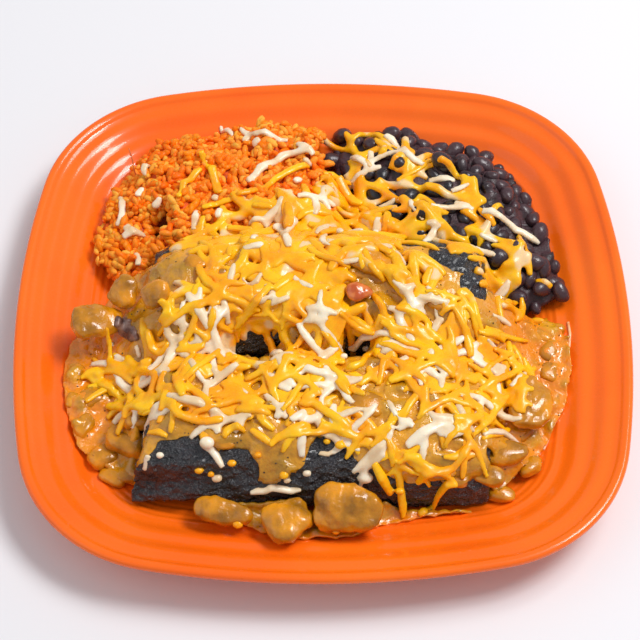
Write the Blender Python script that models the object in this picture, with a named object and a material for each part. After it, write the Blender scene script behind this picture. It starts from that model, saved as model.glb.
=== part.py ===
# Rolled blue corn enchiladas under green chile sauce and melted cheese, with rice and black
# beans behind them, on a rounded square plate. Sizes are in millimetres, the meshes in metres.
# +Z is up, +Y points to the back of the plate, where the rice and the beans are, and the
# origin is under the middle of the plate.
import math
import random

import bmesh
import bpy
from mathutils import Vector, noise
from mathutils.bvhtree import BVHTree

MM = 0.001
GAP = 0.4  # free space between neighbours
PRISM_HIGH = 70.0

# Plate: four wide side arcs joined by four tight corner arcs
PLATE_HALF = 136.5
SIDE_ARC = 407.0
CORNER_ARC = 68.5
SIDE_STEPS, CORNER_STEPS = 2, 7
WELL_Z = 8.0
# Rim: a slope with ridges that run round the plate at an even pitch
RIM_TOP = 22.6
RIM_SLOPE = 0.44
RIM_FROM, RIM_TO = 5.0, 32.0
RIDGE_PITCH = 10.5
RIDGE_FIRST = 11.5
RIDGE_HEIGHT = 0.6
RIDGE_POINTS = 11
# The rest of the section, as (inset from the widest line, height)
LIP = [(0.9, 20.2), (0.0, 21.4), (0.2, 22.8), (1.5, 23.7), (3.2, 23.3)]
WELL_EDGE = [(35.0, 9.4), (40.0, WELL_Z)]
UNDERSIDE = [(58.0, 3.2), (54.0, 1.0), (53.0, 0.0), (47.0, 0.0), (45.5, 1.2), (38.0, 3.4), (16.0, 13.6)]

# Enchiladas: two rolled tortillas, each about one tortilla wide
ROLL_STATIONS = 14
ROLL_SIDES = 16
ROLL_SQUARE = 2.15  # exponent of the pressed section, 2 would be an ellipse
BELLY = 0.45  # height of a roll's widest line, as a share of its height
END_SQUARE = 7.0
END_HALF, END_HIGH = 0.86, 0.6  # a roll's size at its ends, as shares of its middle
# The toe is the height of a roll's front edge: the front one slopes down to a flat edge
FRONT_ROLL = {
    "x": (-76.0, 72.0), "y": -63.0, "half": 33.0, "high": 31.0, "bow": 0.5, "toe": 0.14, "seed": 3,
}
BACK_ROLL = {
    "x": (-77.0, 74.0), "y": 3.0, "half": 29.5, "high": 37.0, "bow": 2.0, "toe": BELLY, "seed": 8,
}
# The front roll's free edge stands off the plate at its left end and comes to a point
LIP_REACH = 32.0
LIP_LIFT = 7.5
LIP_FROM, LIP_TO = -50.0, -30.0
TIP_REACH = 8.0

# Heaps: where each one ends on the plate, seen from its middle, and its height there
RICE_MIDDLE = (-42.0, 66.0)
RICE_EDGE = [
    (-104, 30), (-104, 50), (-97, 78), (-84, 95), (-68, 103), (-40, 109), (-8, 111), (12, 108),
    (22, 80), (28, 52), (30, 26), (-20, 20), (-62, 18), (-88, 19),
]
RICE_HIGH = 25.0
RICE_BUMP = 2.4
RICE_SPOKES, RICE_STEPS = 40, 14
BEAN_MIDDLE = (60.0, 58.0)
BEAN_EDGE = [
    (109, 8), (109, 28), (102, 52), (95, 76), (80, 95), (62, 101), (40, 109), (14, 112),
    (2, 104), (8, 70), (13, 30), (46, 14), (80, 2),
]
BEAN_HIGH = 20.0
BEAN_SIZE = (5.4, 3.9, 3.5)
BEAN_COUNT = 42
BEAN_APART = 8.0
BEAN_KEEP = 0.75  # share of the faces kept where the beans were joined
BEAN_SPOKES, BEAN_STEPS = 24, 6

# Green chile sauce: a coat over both rolls and a pool round them
SAUCE_MIDDLE = (0.0, -30.0)
SAUCE_EDGE = [
    (111, -22), (105, -53), (89, -78), (70, -95), (33, -103), (13, -112), (-14, -113), (-36, -106),
    (-55, -95), (-84, -84), (-104, -74), (-114, -45), (-116, -26), (-110, -2), (-88, 17),
    (-40, 25), (30, 26), (84, 12), (108, 2),
]
COAT = 2.4
POOL = 3.2
SKIRT_SLOPE = 0.95  # how fast the sauce piled against a roll falls away from it
SKIRT_FROM = 8.0
SAUCE_SPOKES, SAUCE_STEPS = 36, 11
# Places between the rolls where the tortilla is bare: middle and radii
BARE_PLACES = [((-32, -25), (17, 8)), ((15, -26), (10, 7))]

# Pieces of chile and tomato: middle, half sizes, turn about Z, and tilts about X and Y
PIECES = {
    "chile_front_middle": ((10, -103.0), (15.0, 10.0, 4.6), -10, (30, 0)),
    "chile_front": ((-15, -106.0), (10.5, 9.0, 4.2), 34, (4, 0)),
    "chile_front_left": ((-42, -101.5), (13.0, 5.4, 3.4), -12, (8, 0)),
    "chile_left": ((-99, -11.0), (11.5, 8.0, 4.0), 14, (0, 14)),
    "chile_left_back": ((-87.5, 2.0), (7.4, 6.4, 3.8), 60, (0, -20)),
    "chile_on_roll_end": ((-72, -9.0), (6.5, 5.5, 3.4), 20, (20, -24)),
    "chile_right": ((89.5, -52.0), (9.2, 12.4, 4.6), -12, (0, 10)),
    "chile_on_top": ((24, 4.0), (16.0, 6.0, 2.0), -26, (0, 0)),
    "tomato_piece": ((16, -11.0), (6.0, 3.6, 2.0), 8, (16, 0)),
}
PIECE_SQUARE = 3.2

# Cheese: a melted blanket with shreds lying on it and running off it
CHEESE_MIDDLE = (4.0, -14.0)
CHEESE_EDGE = [
    (88, -34), (80, -56), (52, -76), (12, -82), (-24, -81), (-58, -70), (-84, -48), (-90, -30),
    (-76, -8), (-66, 8), (-66, 34), (-34, 44), (-20, 66), (-2, 90), (20, 98), (42, 84), (62, 66),
    (84, 44), (90, 22), (68, 10), (84, -8),
]
CHEESE_THICK = 2.4
CHEESE_SPOKES, CHEESE_STEPS = 36, 10
CHEESE_KEEP = 0.62  # share of the faces kept where the shreds were joined
DRIP = ((0.0, -25.0, 31.0), (9.0, 6.0, 9.0))
CHEESE_CLEAR = 0.6  # above what carries it
SETTLE_ROUNDS = 4
SHRED_COUNT = 30
SHRED_SIDES = 4
SHRED_STEPS = 3
SHRED_WIDTH = 4.0
SHRED_LENGTH = (18.0, 36.0)
SHRED_SINK = 1.4  # how deep a shred lies in the blanket
# Openings in the blanket, where tortilla, chile and beans show: middle and radii
OPENINGS = [
    ((-32, -26), (13, 5)), ((15, -27), (7, 4)), ((24, 3), (14, 6)), ((58, 38), (8, 5)),
    ((34, 72), (7, 5)), ((28, -46), (8, 5)),
]


# Helpers for numbers

def smooth(a, b, x):
    # Rises from 0 at a to 1 at b
    t = min(1.0, max(0.0, (x - a) / (b - a)))
    return t * t * (3 - 2 * t)


def mix(a, b, t):
    return a + (b - a) * t


def wobble(x, y, scale, seed=0.0):
    # Smooth noise from about -1 to 1
    return noise.noise(Vector((x / scale, y / scale, seed * 7.3)))


def power(value, exponent):
    return math.copysign(abs(value) ** exponent, value)


# The plate's outline and the height that food rests at

FLAT_SIDE = SIDE_ARC - PLATE_HALF
CORNER_AT = (math.sqrt(2 * (SIDE_ARC - CORNER_ARC) ** 2 - FLAT_SIDE**2) - FLAT_SIDE) / 2
SIDE_SPAN = math.atan2(CORNER_AT, CORNER_AT + FLAT_SIDE)


def inset_at(x, y):
    # How far a place lies inside the outline
    far, near = max(abs(x), abs(y)), min(abs(x), abs(y))
    if math.atan2(near, far + FLAT_SIDE) <= SIDE_SPAN:
        return SIDE_ARC - math.hypot(far + FLAT_SIDE, near)
    return CORNER_ARC - math.hypot(far - CORNER_AT, near - CORNER_AT)


def rim_height(inset):
    ridge = RIDGE_HEIGHT * math.cos(2 * math.pi * (inset - RIDGE_FIRST) / RIDGE_PITCH)
    return RIM_TOP - RIM_SLOPE * (inset - RIM_FROM) + ridge


def rest_z(x, y):
    # Food lies on the crests of the ridges, or in the well
    crest = RIM_TOP - RIM_SLOPE * (inset_at(x, y) - RIM_FROM) + RIDGE_HEIGHT
    return max(WELL_Z, crest) + GAP


# Helpers for meshes

def new_object(name, bm, collection):
    bmesh.ops.triangulate(bm, faces=bm.faces)
    bmesh.ops.recalc_face_normals(bm, faces=bm.faces)
    mesh = bpy.data.meshes.new(name)
    bm.to_mesh(mesh)
    bm.free()
    obj = bpy.data.objects.new(name, mesh)
    collection.objects.link(obj)
    return obj


def loft(name, rings, collection):
    # A closed solid through rings of points with the same count, with a face at each end
    bm = bmesh.new()
    loops = [[bm.verts.new(Vector(p) * MM) for p in ring] for ring in rings]
    count = len(rings[0])
    for low, high in zip(loops, loops[1:]):
        for i in range(count):
            j = (i + 1) % count
            bm.faces.new((low[i], low[j], high[j], high[i]))
    bm.faces.new(loops[0])
    bm.faces.new(loops[-1])
    return new_object(name, bm, collection)


def keep_largest(obj):
    # Drops the loose scraps that a cut leaves
    bm = bmesh.new()
    bm.from_mesh(obj.data)
    left, islands = set(bm.verts), []
    while left:
        edge, island = [left.pop()], []
        while edge:
            vert = edge.pop()
            island.append(vert)
            for link in vert.link_edges:
                other = link.other_vert(vert)
                if other in left:
                    left.remove(other)
                    edge.append(other)
        islands.append(island)
    islands.sort(key=len)
    for island in islands[:-1]:
        bmesh.ops.delete(bm, geom=island, context="VERTS")
    bmesh.ops.triangulate(bm, faces=bm.faces)
    bm.to_mesh(obj.data)
    bm.free()


def boolean(obj, others, operation):
    # Joins to obj, or cuts from it, every object of the list, and removes them
    group = bpy.data.collections.new("operands")
    bpy.context.scene.collection.children.link(group)
    for other in others:
        for owner in list(other.users_collection):
            owner.objects.unlink(other)
        group.objects.link(other)
    modifier = obj.modifiers.new("join", "BOOLEAN")
    modifier.operation = operation
    modifier.operand_type = "COLLECTION"
    modifier.collection = group
    modifier.solver = "MANIFOLD"
    graph = bpy.context.evaluated_depsgraph_get()
    mesh = bpy.data.meshes.new_from_object(obj.evaluated_get(graph))
    obj.modifiers.clear()
    obj.data = mesh
    for other in others:
        bpy.data.objects.remove(other)
    bpy.data.collections.remove(group)
    keep_largest(obj)


def thin_out(obj, keep):
    # Fewer faces along the seams that joining leaves
    modifier = obj.modifiers.new("thin", "DECIMATE")
    modifier.ratio = keep
    modifier.use_collapse_triangulate = True
    graph = bpy.context.evaluated_depsgraph_get()
    mesh = bpy.data.meshes.new_from_object(obj.evaluated_get(graph))
    obj.modifiers.clear()
    obj.data = mesh


def grown_copy(obj, by, collection):
    # The same solid with every point moved out along its normal
    bm = bmesh.new()
    bm.from_mesh(obj.data)
    bm.normal_update()
    moves = [(vert, vert.normal.copy()) for vert in bm.verts]
    for vert, normal in moves:
        vert.co += normal * by * MM
    return new_object(obj.name + "_grown", bm, collection)


def apply_place(obj):
    bpy.context.view_layer.update()
    obj.data.transform(obj.matrix_world)
    obj.matrix_world.identity()


def surface_of(objects):
    # A tree of everything's faces, to look up how high they reach
    bm = bmesh.new()
    for obj in objects:
        bm.from_mesh(obj.data)
    tree = BVHTree.FromBMesh(bm)
    bm.free()
    return tree


def top_at(tree, x, y, reach):
    # Highest point within reach of a place, or the plate
    spots = [(0, 0), (1, 0), (-1, 0), (0, 1), (0, -1), (0.7, 0.7), (-0.7, 0.7), (0.7, -0.7), (-0.7, -0.7)]
    best = rest_z(x, y)
    for dx, dy in spots:
        start = Vector((x + dx * reach, y + dy * reach, 200.0)) * MM
        place = tree.ray_cast(start, Vector((0, 0, -1)))[0]
        if place:
            best = max(best, place.z / MM)
    return best


def finish(obj, colour_name, colour, rough):
    made = bpy.data.materials.get(colour_name) or bpy.data.materials.new(colour_name)
    made.use_nodes = True
    shader = made.node_tree.nodes["Principled BSDF"]
    shader.inputs["Base Color"].default_value = (*colour, 1.0)
    shader.inputs["Roughness"].default_value = rough
    obj.data.materials.clear()
    obj.data.materials.append(made)
    obj.data.shade_smooth()
    obj.data.set_sharp_from_angle(angle=math.radians(40))


# Plate

def outline_turns():
    # Angles of the outline's points, closer together round the corners
    turns = []
    corner = math.pi / 2 - 2 * SIDE_SPAN
    for quarter in range(4):
        start = quarter * math.pi / 2
        turns += [start + SIDE_SPAN * k / SIDE_STEPS for k in range(-SIDE_STEPS, SIDE_STEPS)]
        turns += [start + SIDE_SPAN + corner * k / CORNER_STEPS for k in range(CORNER_STEPS)]
    return turns


def outline_point(turn, inset):
    # The outline's point whose normal has the angle turn, moved in by inset
    quarter = round(turn / (math.pi / 2)) * math.pi / 2
    local = turn - quarter
    if abs(local) <= SIDE_SPAN:
        middle, radius = (-FLAT_SIDE, 0.0), SIDE_ARC
    else:
        middle, radius = (CORNER_AT, math.copysign(CORNER_AT, local)), CORNER_ARC
    x = middle[0] + (radius - inset) * math.cos(local)
    y = middle[1] + (radius - inset) * math.sin(local)
    c, s = math.cos(quarter), math.sin(quarter)
    return x * c - y * s, x * s + y * c


def make_plate(collection):
    steps = RIDGE_POINTS - 1
    rim = [mix(RIM_FROM, RIM_TO, k / steps) for k in range(RIDGE_POINTS)]
    section = UNDERSIDE + LIP + [(inset, rim_height(inset)) for inset in rim] + WELL_EDGE
    turns = outline_turns()
    rings = [[(*outline_point(turn, inset), z) for turn in turns] for inset, z in section]
    return loft("plate", rings, collection)


# Enchiladas

def roll_size(roll, share, x):
    # Middle, half width and height of a roll at one place along it
    end = (1 - abs(2 * share - 1) ** END_SQUARE) ** 0.5
    middle = roll["y"] + roll["bow"] * math.cos(math.pi * (share - 0.5))
    lumps = 1 + 0.06 * wobble(x, 0, 26, roll["seed"])
    return middle, roll["half"] * mix(END_HALF, 1, end), roll["high"] * mix(END_HIGH, 1, end) * lumps


def belly_at(roll, across):
    # Height of the widest line for a point of the section, lower towards the front edge
    return mix(roll["toe"], BELLY, smooth(-1.0, 0.3, across))


def roll_section(roll, share, x):
    # Points round the pressed roll, from its back over its top to its front and under
    middle, half, high = roll_size(roll, share, x)
    floor = WELL_Z + GAP
    points = []
    for k in range(ROLL_SIDES):
        turn = 2 * math.pi * k / ROLL_SIDES
        y = middle + half * power(math.cos(turn), 2 / ROLL_SQUARE)
        belly = belly_at(roll, math.cos(turn))
        z = floor + high * (belly + (1 - belly) * power(math.sin(turn), 2 / ROLL_SQUARE))
        points.append((y, max(z, floor)))
    return points


def lift_edge(roll, points, x):
    # Draws the tortilla's free edge out over a hollow at the front left
    share = 1 - smooth(LIP_FROM, LIP_TO, x)
    end = 1 - smooth(roll["x"][0], LIP_FROM, x)
    edge = roll["y"] - LIP_REACH + 2.0 * end
    low = rest_z(x, edge)
    lift = mix(LIP_LIFT, 0.4, end**2)
    lipped = {
        7: (edge + 6.0, low + lift + 7.0),
        8: (edge + 1.0, low + lift + 3.0),
        9: (edge, low + lift),
        10: (edge + 9.0, low + lift + 0.6),
        11: (edge + 17.0, WELL_Z + GAP),
    }
    for k, (y, z) in lipped.items():
        points[k] = (mix(points[k][0], y, share), mix(points[k][1], z, share))
    return points


def roll_rings(roll, lipped):
    low, high = roll["x"]
    rings = []
    for k in range(ROLL_STATIONS):
        share = mix(0.012, 0.988, 0.5 - 0.5 * math.cos(math.pi * k / (ROLL_STATIONS - 1)))
        x = mix(low, high, share)
        points = roll_section(roll, share, x)
        tip = 0.0
        if lipped:
            points = lift_edge(roll, points, x)
            tip = TIP_REACH * (1 - smooth(low, low + 34, x))
        front = roll["y"] - roll["half"]
        ring = []
        for y, z in points:
            drawn = x - tip * smooth(roll["y"], front, y)
            ring.append((drawn, y, max(z, rest_z(drawn, y))))
        rings.append(ring)
    return rings


def roll_hull(roll, lipped, collection):
    # A slightly larger shape without hollows, to cut what lies round the roll
    bm = bmesh.new()
    middle_z = WELL_Z + roll["high"] / 2
    for ring in roll_rings(roll, lipped):
        for x, y, z in ring:
            out = Vector((0, y - roll["y"], z - middle_z)).normalized() * GAP * 2
            bm.verts.new((Vector((x, y, z)) + out) * MM)
    ends = [vert for vert in bm.verts]
    for vert in (ends[0], ends[-1]):
        side = math.copysign(2 * GAP, vert.co.x)
        bm.verts.new(vert.co + Vector((side, 0, 0)) * MM)
    hull = bmesh.ops.convex_hull(bm, input=bm.verts)
    spare = [v for v in hull["geom_interior"] if isinstance(v, bmesh.types.BMVert)]
    bmesh.ops.delete(bm, geom=spare, context="VERTS")
    return new_object("hull", bm, collection)


def roll_mound(roll, x, y, spread):
    # Height of a roll's upper side with sauce piled against it, falling away from it
    low, high = roll["x"]
    inner = min(max(x, low + SKIRT_FROM), high - SKIRT_FROM)
    middle, half, tall = roll_size(roll, (inner - low) / (high - low), inner)
    across = abs(y - middle)
    belly = belly_at(roll, math.copysign((across / half) ** (ROLL_SQUARE / 2), y - middle))
    flat = belly + (1 - belly) * max(0.0, 1 - (across / half) ** ROLL_SQUARE) ** (1 / ROLL_SQUARE)
    beyond = math.hypot(x - inner, max(0.0, across - half + SKIRT_FROM))
    top = tall * flat if inner == x and across < half else 0.0
    return WELL_Z + GAP + max(top, spread * (tall - 1.0) - SKIRT_SLOPE * beyond)


# Heaps: solids between the plate and a domed top, spread round a middle

def reach_towards(middle, edge, turn):
    # Distance from the middle to the edge in one direction, smooth between the edge's points
    polar = sorted(
        (math.atan2(y - middle[1], x - middle[0]) % (2 * math.pi), math.hypot(x - middle[0], y - middle[1]))
        for x, y in edge
    )
    count = len(polar)
    turn %= 2 * math.pi
    k = sum(1 for angle, _ in polar if angle <= turn) - 1
    (a1, r1), (a2, r2) = polar[k % count], polar[(k + 1) % count]
    r0, r3 = polar[(k - 1) % count][1], polar[(k + 2) % count][1]
    t = ((turn - a1) % (2 * math.pi)) / ((a2 - a1) % (2 * math.pi))
    bend = 2 * r1 + (r2 - r0) * t + (2 * r0 - 5 * r1 + 4 * r2 - r3) * t**2
    return 0.5 * (bend + (3 * r1 - r0 - 3 * r2 + r3) * t**3)


def heap_share(middle, edge, x, y):
    # 0 in the middle of a heap and 1 at its edge
    turn = math.atan2(y - middle[1], x - middle[0])
    return math.hypot(x - middle[0], y - middle[1]) / reach_towards(middle, edge, turn)


def heap_spokes(middle, edge, spokes):
    turns = [2 * math.pi * k / spokes for k in range(spokes)]
    return [(turn, reach_towards(middle, edge, turn)) for turn in turns]


def heap_ring(middle, spokes, share, height, extra=0.0):
    ring = []
    for turn, reach in spokes:
        x = middle[0] + (reach * share + extra) * math.cos(turn)
        y = middle[1] + (reach * share + extra) * math.sin(turn)
        ring.append((x, y, height(x, y)))
    return ring


def dome_shares(steps):
    # From the edge to near the middle, closer together at the edge
    return [1 - 0.97 * (k / steps) ** 1.15 for k in range(steps + 1)]


def heap_rings(middle, edge, count, steps, top):
    # Rings from the underside out to the edge and back in over the top
    spokes = heap_spokes(middle, edge, count)
    rings = [heap_ring(middle, spokes, share, rest_z) for share in (0.4, 0.7, 0.82, 0.91, 1.0)]
    return rings + [heap_ring(middle, spokes, share, top) for share in dome_shares(steps)]


def heap_prism(middle, edge, count, collection):
    # A straight-sided block just wider than a heap, to cut back what lies beside it
    spokes = heap_spokes(middle, edge, count)
    levels = (0.0, PRISM_HIGH)
    rings = [heap_ring(middle, spokes, 1.0, lambda x, y: z, GAP) for z in levels]
    return loft("prism", rings, collection)


def rice_z(x, y):
    share = min(1.0, heap_share(RICE_MIDDLE, RICE_EDGE, x, y))
    dome = (1 - share**2.6) ** 0.62
    along = x + 83 - 0.35 * (y - 40)
    crevice = math.exp(-(along**2) / 30) * smooth(66, 48, y) * smooth(14, 24, y)
    lumps = 2.2 * wobble(x, y, 19, 1)
    return rest_z(x, y) + 2.4 + dome * (RICE_HIGH * (1 - 0.42 * crevice) + lumps)


def bean_z(x, y):
    share = min(1.0, heap_share(BEAN_MIDDLE, BEAN_EDGE, x, y))
    dome = (1 - share**2.4) ** 0.66
    return rest_z(x, y) + 1.6 + dome * (BEAN_HIGH + 1.6 * wobble(x, y, 22, 4))


def bareness(x, y):
    # 1 where the tortilla shows: at the front left, low at the front right, and between the
    # rolls
    left = smooth(-24, -44, x) * smooth(-66, -78, y)
    right = smooth(20, 40, x) * smooth(-84, -91, y)
    middle = 0.7 * smooth(-14, 4, x) * smooth(44, 28, x) * smooth(-72, -80, y)
    bare = max(left, right, middle)
    for middle, radii in BARE_PLACES:
        away = math.hypot((x - middle[0]) / radii[0], (y - middle[1]) / radii[1])
        bare = max(bare, smooth(1.2, 0.7, away))
    return bare


def sauce_z(x, y):
    share = min(1.0, heap_share(SAUCE_MIDDLE, SAUCE_EDGE, x, y))
    edge = (1 - share**6) ** 0.5
    side = smooth(60, 92, abs(x + 6)) * smooth(1.0, 0.8, share)
    pool = rest_z(x, y) + 0.9 + edge * (POOL + 1.5 * wobble(x, y, 17, 2))
    pool += side * (5.0 + 3.0 * wobble(x, y, 12, 5))
    bare = bareness(x, y)
    coat = COAT * (1 - 1.7 * bare) + 0.7 * wobble(x, y, 11, 6)
    spread = (1 - 0.3 * bare) * smooth(-96, -80, y)
    mound = max(roll_mound(roll, x, y, spread) for roll in (FRONT_ROLL, BACK_ROLL))
    return max(pool, mound + coat)


def make_rice(collection):
    # The top has bumps as large as the grains, but for where the cheese lies
    rng = random.Random(5)

    def grainy(x, y):
        covered = heap_share(CHEESE_MIDDLE, CHEESE_EDGE, x, y) < 1.04
        inner = 0.2 < heap_share(RICE_MIDDLE, RICE_EDGE, x, y) < 0.98
        return rice_z(x, y) - (rng.uniform(0, RICE_BUMP) if inner and not covered else 0.0)

    rings = heap_rings(RICE_MIDDLE, RICE_EDGE, RICE_SPOKES, RICE_STEPS, grainy)
    return loft("rice", rings, collection)


def bean_place(rng):
    turn, share = rng.uniform(0, 2 * math.pi), math.sqrt(rng.uniform(0.1, 0.92))
    reach = reach_towards(BEAN_MIDDLE, BEAN_EDGE, turn) * share
    return BEAN_MIDDLE[0] + reach * math.cos(turn), BEAN_MIDDLE[1] + reach * math.sin(turn)


def make_bean(k, x, y, rng, collection):
    bm = bmesh.new()
    bmesh.ops.create_uvsphere(bm, u_segments=6, v_segments=4, radius=MM)
    bmesh.ops.scale(bm, vec=BEAN_SIZE, verts=bm.verts)
    bean = new_object(f"bean_{k}", bm, collection)
    lowest = rest_z(x, y) + BEAN_SIZE[0] * 0.8 + 1.0
    bean.location = Vector((x, y, max(bean_z(x, y) + 0.4, lowest))) * MM
    bean.rotation_euler = (rng.uniform(-0.4, 0.4), rng.uniform(-0.4, 0.4), rng.uniform(0, math.pi))
    apply_place(bean)
    return bean


def make_beans(collection):
    # A dark core of crushed beans with whole ones standing out of it
    rings = heap_rings(BEAN_MIDDLE, BEAN_EDGE, BEAN_SPOKES, BEAN_STEPS, bean_z)
    core = loft("black_beans", rings, collection)
    rng = random.Random(11)
    places = []
    tries = 0
    while len(places) < BEAN_COUNT and tries < 4000:
        tries += 1
        x, y = bean_place(rng)
        near = any(math.hypot(x - px, y - py) < BEAN_APART for px, py in places)
        by_rice = heap_share(RICE_MIDDLE, RICE_EDGE, x, y) < 1.16
        by_sauce = heap_share(SAUCE_MIDDLE, SAUCE_EDGE, x, y) < 1.1
        if not (near or by_rice or by_sauce):
            places.append((x, y))
    beans = [make_bean(k, x, y, rng, collection) for k, (x, y) in enumerate(places)]
    boolean(core, beans, "UNION")
    thin_out(core, BEAN_KEEP)
    return core


# Pieces of chile and tomato: flattened lumps with blunt corners, narrower at one end

def make_piece(name, place, size, turn, tilt, carried, collection):
    rng = random.Random(name)
    shift = Vector((rng.random() * 9, 0, 0))
    bm = bmesh.new()
    bmesh.ops.create_icosphere(bm, subdivisions=2, radius=1.0)
    for vert in bm.verts:
        x, y, z = vert.co
        block = (abs(x) ** PIECE_SQUARE + abs(y) ** PIECE_SQUARE + abs(z) ** PIECE_SQUARE) ** (-1 / PIECE_SQUARE)
        x, y, z = x * block, y * block, z * block
        z += 0.14 * noise.noise(Vector((x, y, z)) * 1.7 + shift)
        vert.co = Vector((x * size[0], y * (1 - 0.22 * x) * size[1], z * size[2])) * MM
    piece = new_object(name, bm, collection)
    piece.location = Vector((*place, 0)) * MM
    piece.rotation_euler = (math.radians(tilt[0]), math.radians(tilt[1]), math.radians(turn))
    apply_place(piece)
    # It is lowered until it touches what carries it
    lift = max(top_at(carried, *(vert.co.xy / MM), 0.8) + GAP - vert.co.z / MM for vert in piece.data.vertices)
    for vert in piece.data.vertices:
        vert.co.z += lift * MM
    return piece


# Cheese

def settle(rings, carried):
    # Raises the points of a draped sheet until its facets clear everything below them
    for _ in range(SETTLE_ROUNDS):
        for low, high in zip(rings, rings[1:]):
            for i in range(len(low)):
                j = (i + 1) % len(low)
                corners = [low[i], low[j], high[j], high[i]]
                for a, b, c in ((0, 1, 2), (0, 2, 3), (1, 2, 3), (0, 1, 3)):
                    raise_facet(corners[a], corners[b], corners[c], carried)


def raise_facet(a, b, c, carried):
    steps = 4
    need = 0.0
    for i in range(steps + 1):
        for j in range(steps + 1 - i):
            spot = (a * i + b * j + c * (steps - i - j)) / steps
            need = max(need, top_at(carried, spot.x, spot.y, 0.0) + CHEESE_CLEAR - spot.z)
    for corner in (a, b, c):
        corner.z += need * 0.6


def make_blanket(carried, collection):
    spokes = heap_spokes(CHEESE_MIDDLE, CHEESE_EDGE, CHEESE_SPOKES)
    lower = []
    for share in dome_shares(CHEESE_STEPS):
        ring = heap_ring(CHEESE_MIDDLE, spokes, share, lambda x, y: top_at(carried, x, y, 2.0))
        lower.append([Vector(p) + Vector((0, 0, CHEESE_CLEAR)) for p in ring])
    settle(lower, carried)
    upper = []
    for ring in lower:
        thick = [CHEESE_THICK * (1 + 0.5 * wobble(p.x, p.y, 9, 12)) for p in ring]
        upper.append([p + Vector((0, 0, t)) for p, t in zip(ring, thick)])
    blanket = loft("melted_cheese", lower[::-1] + upper, collection)
    cutters = []
    for middle, radii in OPENINGS:
        bm = bmesh.new()
        bmesh.ops.create_cone(bm, cap_ends=True, segments=9, radius1=1, radius2=1, depth=90 * MM)
        bmesh.ops.scale(bm, vec=(radii[0] * MM, radii[1] * MM, 1), verts=bm.verts)
        bmesh.ops.translate(bm, vec=Vector((*middle, 30)) * MM, verts=bm.verts)
        cutters.append(new_object("opening", bm, collection))
    boolean(blanket, cutters, "DIFFERENCE")
    return blanket


def shred_path(rng, carried, blanket):
    # A shred's middle line, from a start place, a heading and a bend
    turn, share = rng.uniform(0, 2 * math.pi), math.sqrt(rng.uniform(0.02, 1.0))
    reach = reach_towards(CHEESE_MIDDLE, CHEESE_EDGE, turn) * share
    x, y = CHEESE_MIDDLE[0] + reach * math.cos(turn), CHEESE_MIDDLE[1] + reach * math.sin(turn)
    heading, bend = rng.uniform(0, 2 * math.pi), rng.uniform(-0.5, 0.5)
    step = rng.uniform(*SHRED_LENGTH) / SHRED_STEPS
    half = SHRED_WIDTH / 2
    path = []
    for _ in range(SHRED_STEPS + 1):
        on_blanket = top_at(blanket, x, y, half) + half - SHRED_SINK
        on_rest = top_at(carried, x, y, step * 0.6) + half + CHEESE_CLEAR
        path.append(Vector((x, y, max(on_blanket, on_rest))))
        x += math.cos(heading) * step
        y += math.sin(heading) * step
        heading += bend
    return path


def shred_rings(path):
    # Sections across the path, smaller at both ends
    rings = []
    last = len(path) - 1
    turns = [2 * math.pi * (side + 0.5) / SHRED_SIDES for side in range(SHRED_SIDES)]
    for k, point in enumerate(path):
        along = (path[min(k + 1, last)] - path[max(k - 1, 0)]).normalized()
        across = along.cross(Vector((0, 0, 1))).normalized()
        above = across.cross(along)
        radius = SHRED_WIDTH / 2 * (0.75 if k in (0, last) else 1.0)
        rings.append([point + radius * (across * math.cos(t) + above * math.sin(t)) for t in turns])
    return rings


def make_cheese(beds, collection):
    carried = surface_of(beds)
    blanket = make_blanket(carried, collection)
    covered = surface_of([blanket])
    rng = random.Random(21)
    extras = []
    while len(extras) < SHRED_COUNT:
        path = shred_path(rng, carried, covered)
        if all(inset_at(point.x, point.y) > 27 for point in path):
            extras.append(loft(f"shred_{len(extras)}", shred_rings(path), collection))
    bm = bmesh.new()
    bmesh.ops.create_icosphere(bm, subdivisions=2, radius=MM)
    bmesh.ops.scale(bm, vec=DRIP[1], verts=bm.verts)
    bmesh.ops.translate(bm, vec=Vector(DRIP[0]) * MM, verts=bm.verts)
    extras.append(new_object("drip", bm, collection))
    boolean(blanket, extras, "UNION")
    thin_out(blanket, CHEESE_KEEP)
    return blanket


# Assembly: each layer is cut back by slightly larger copies of what it touches

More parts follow.
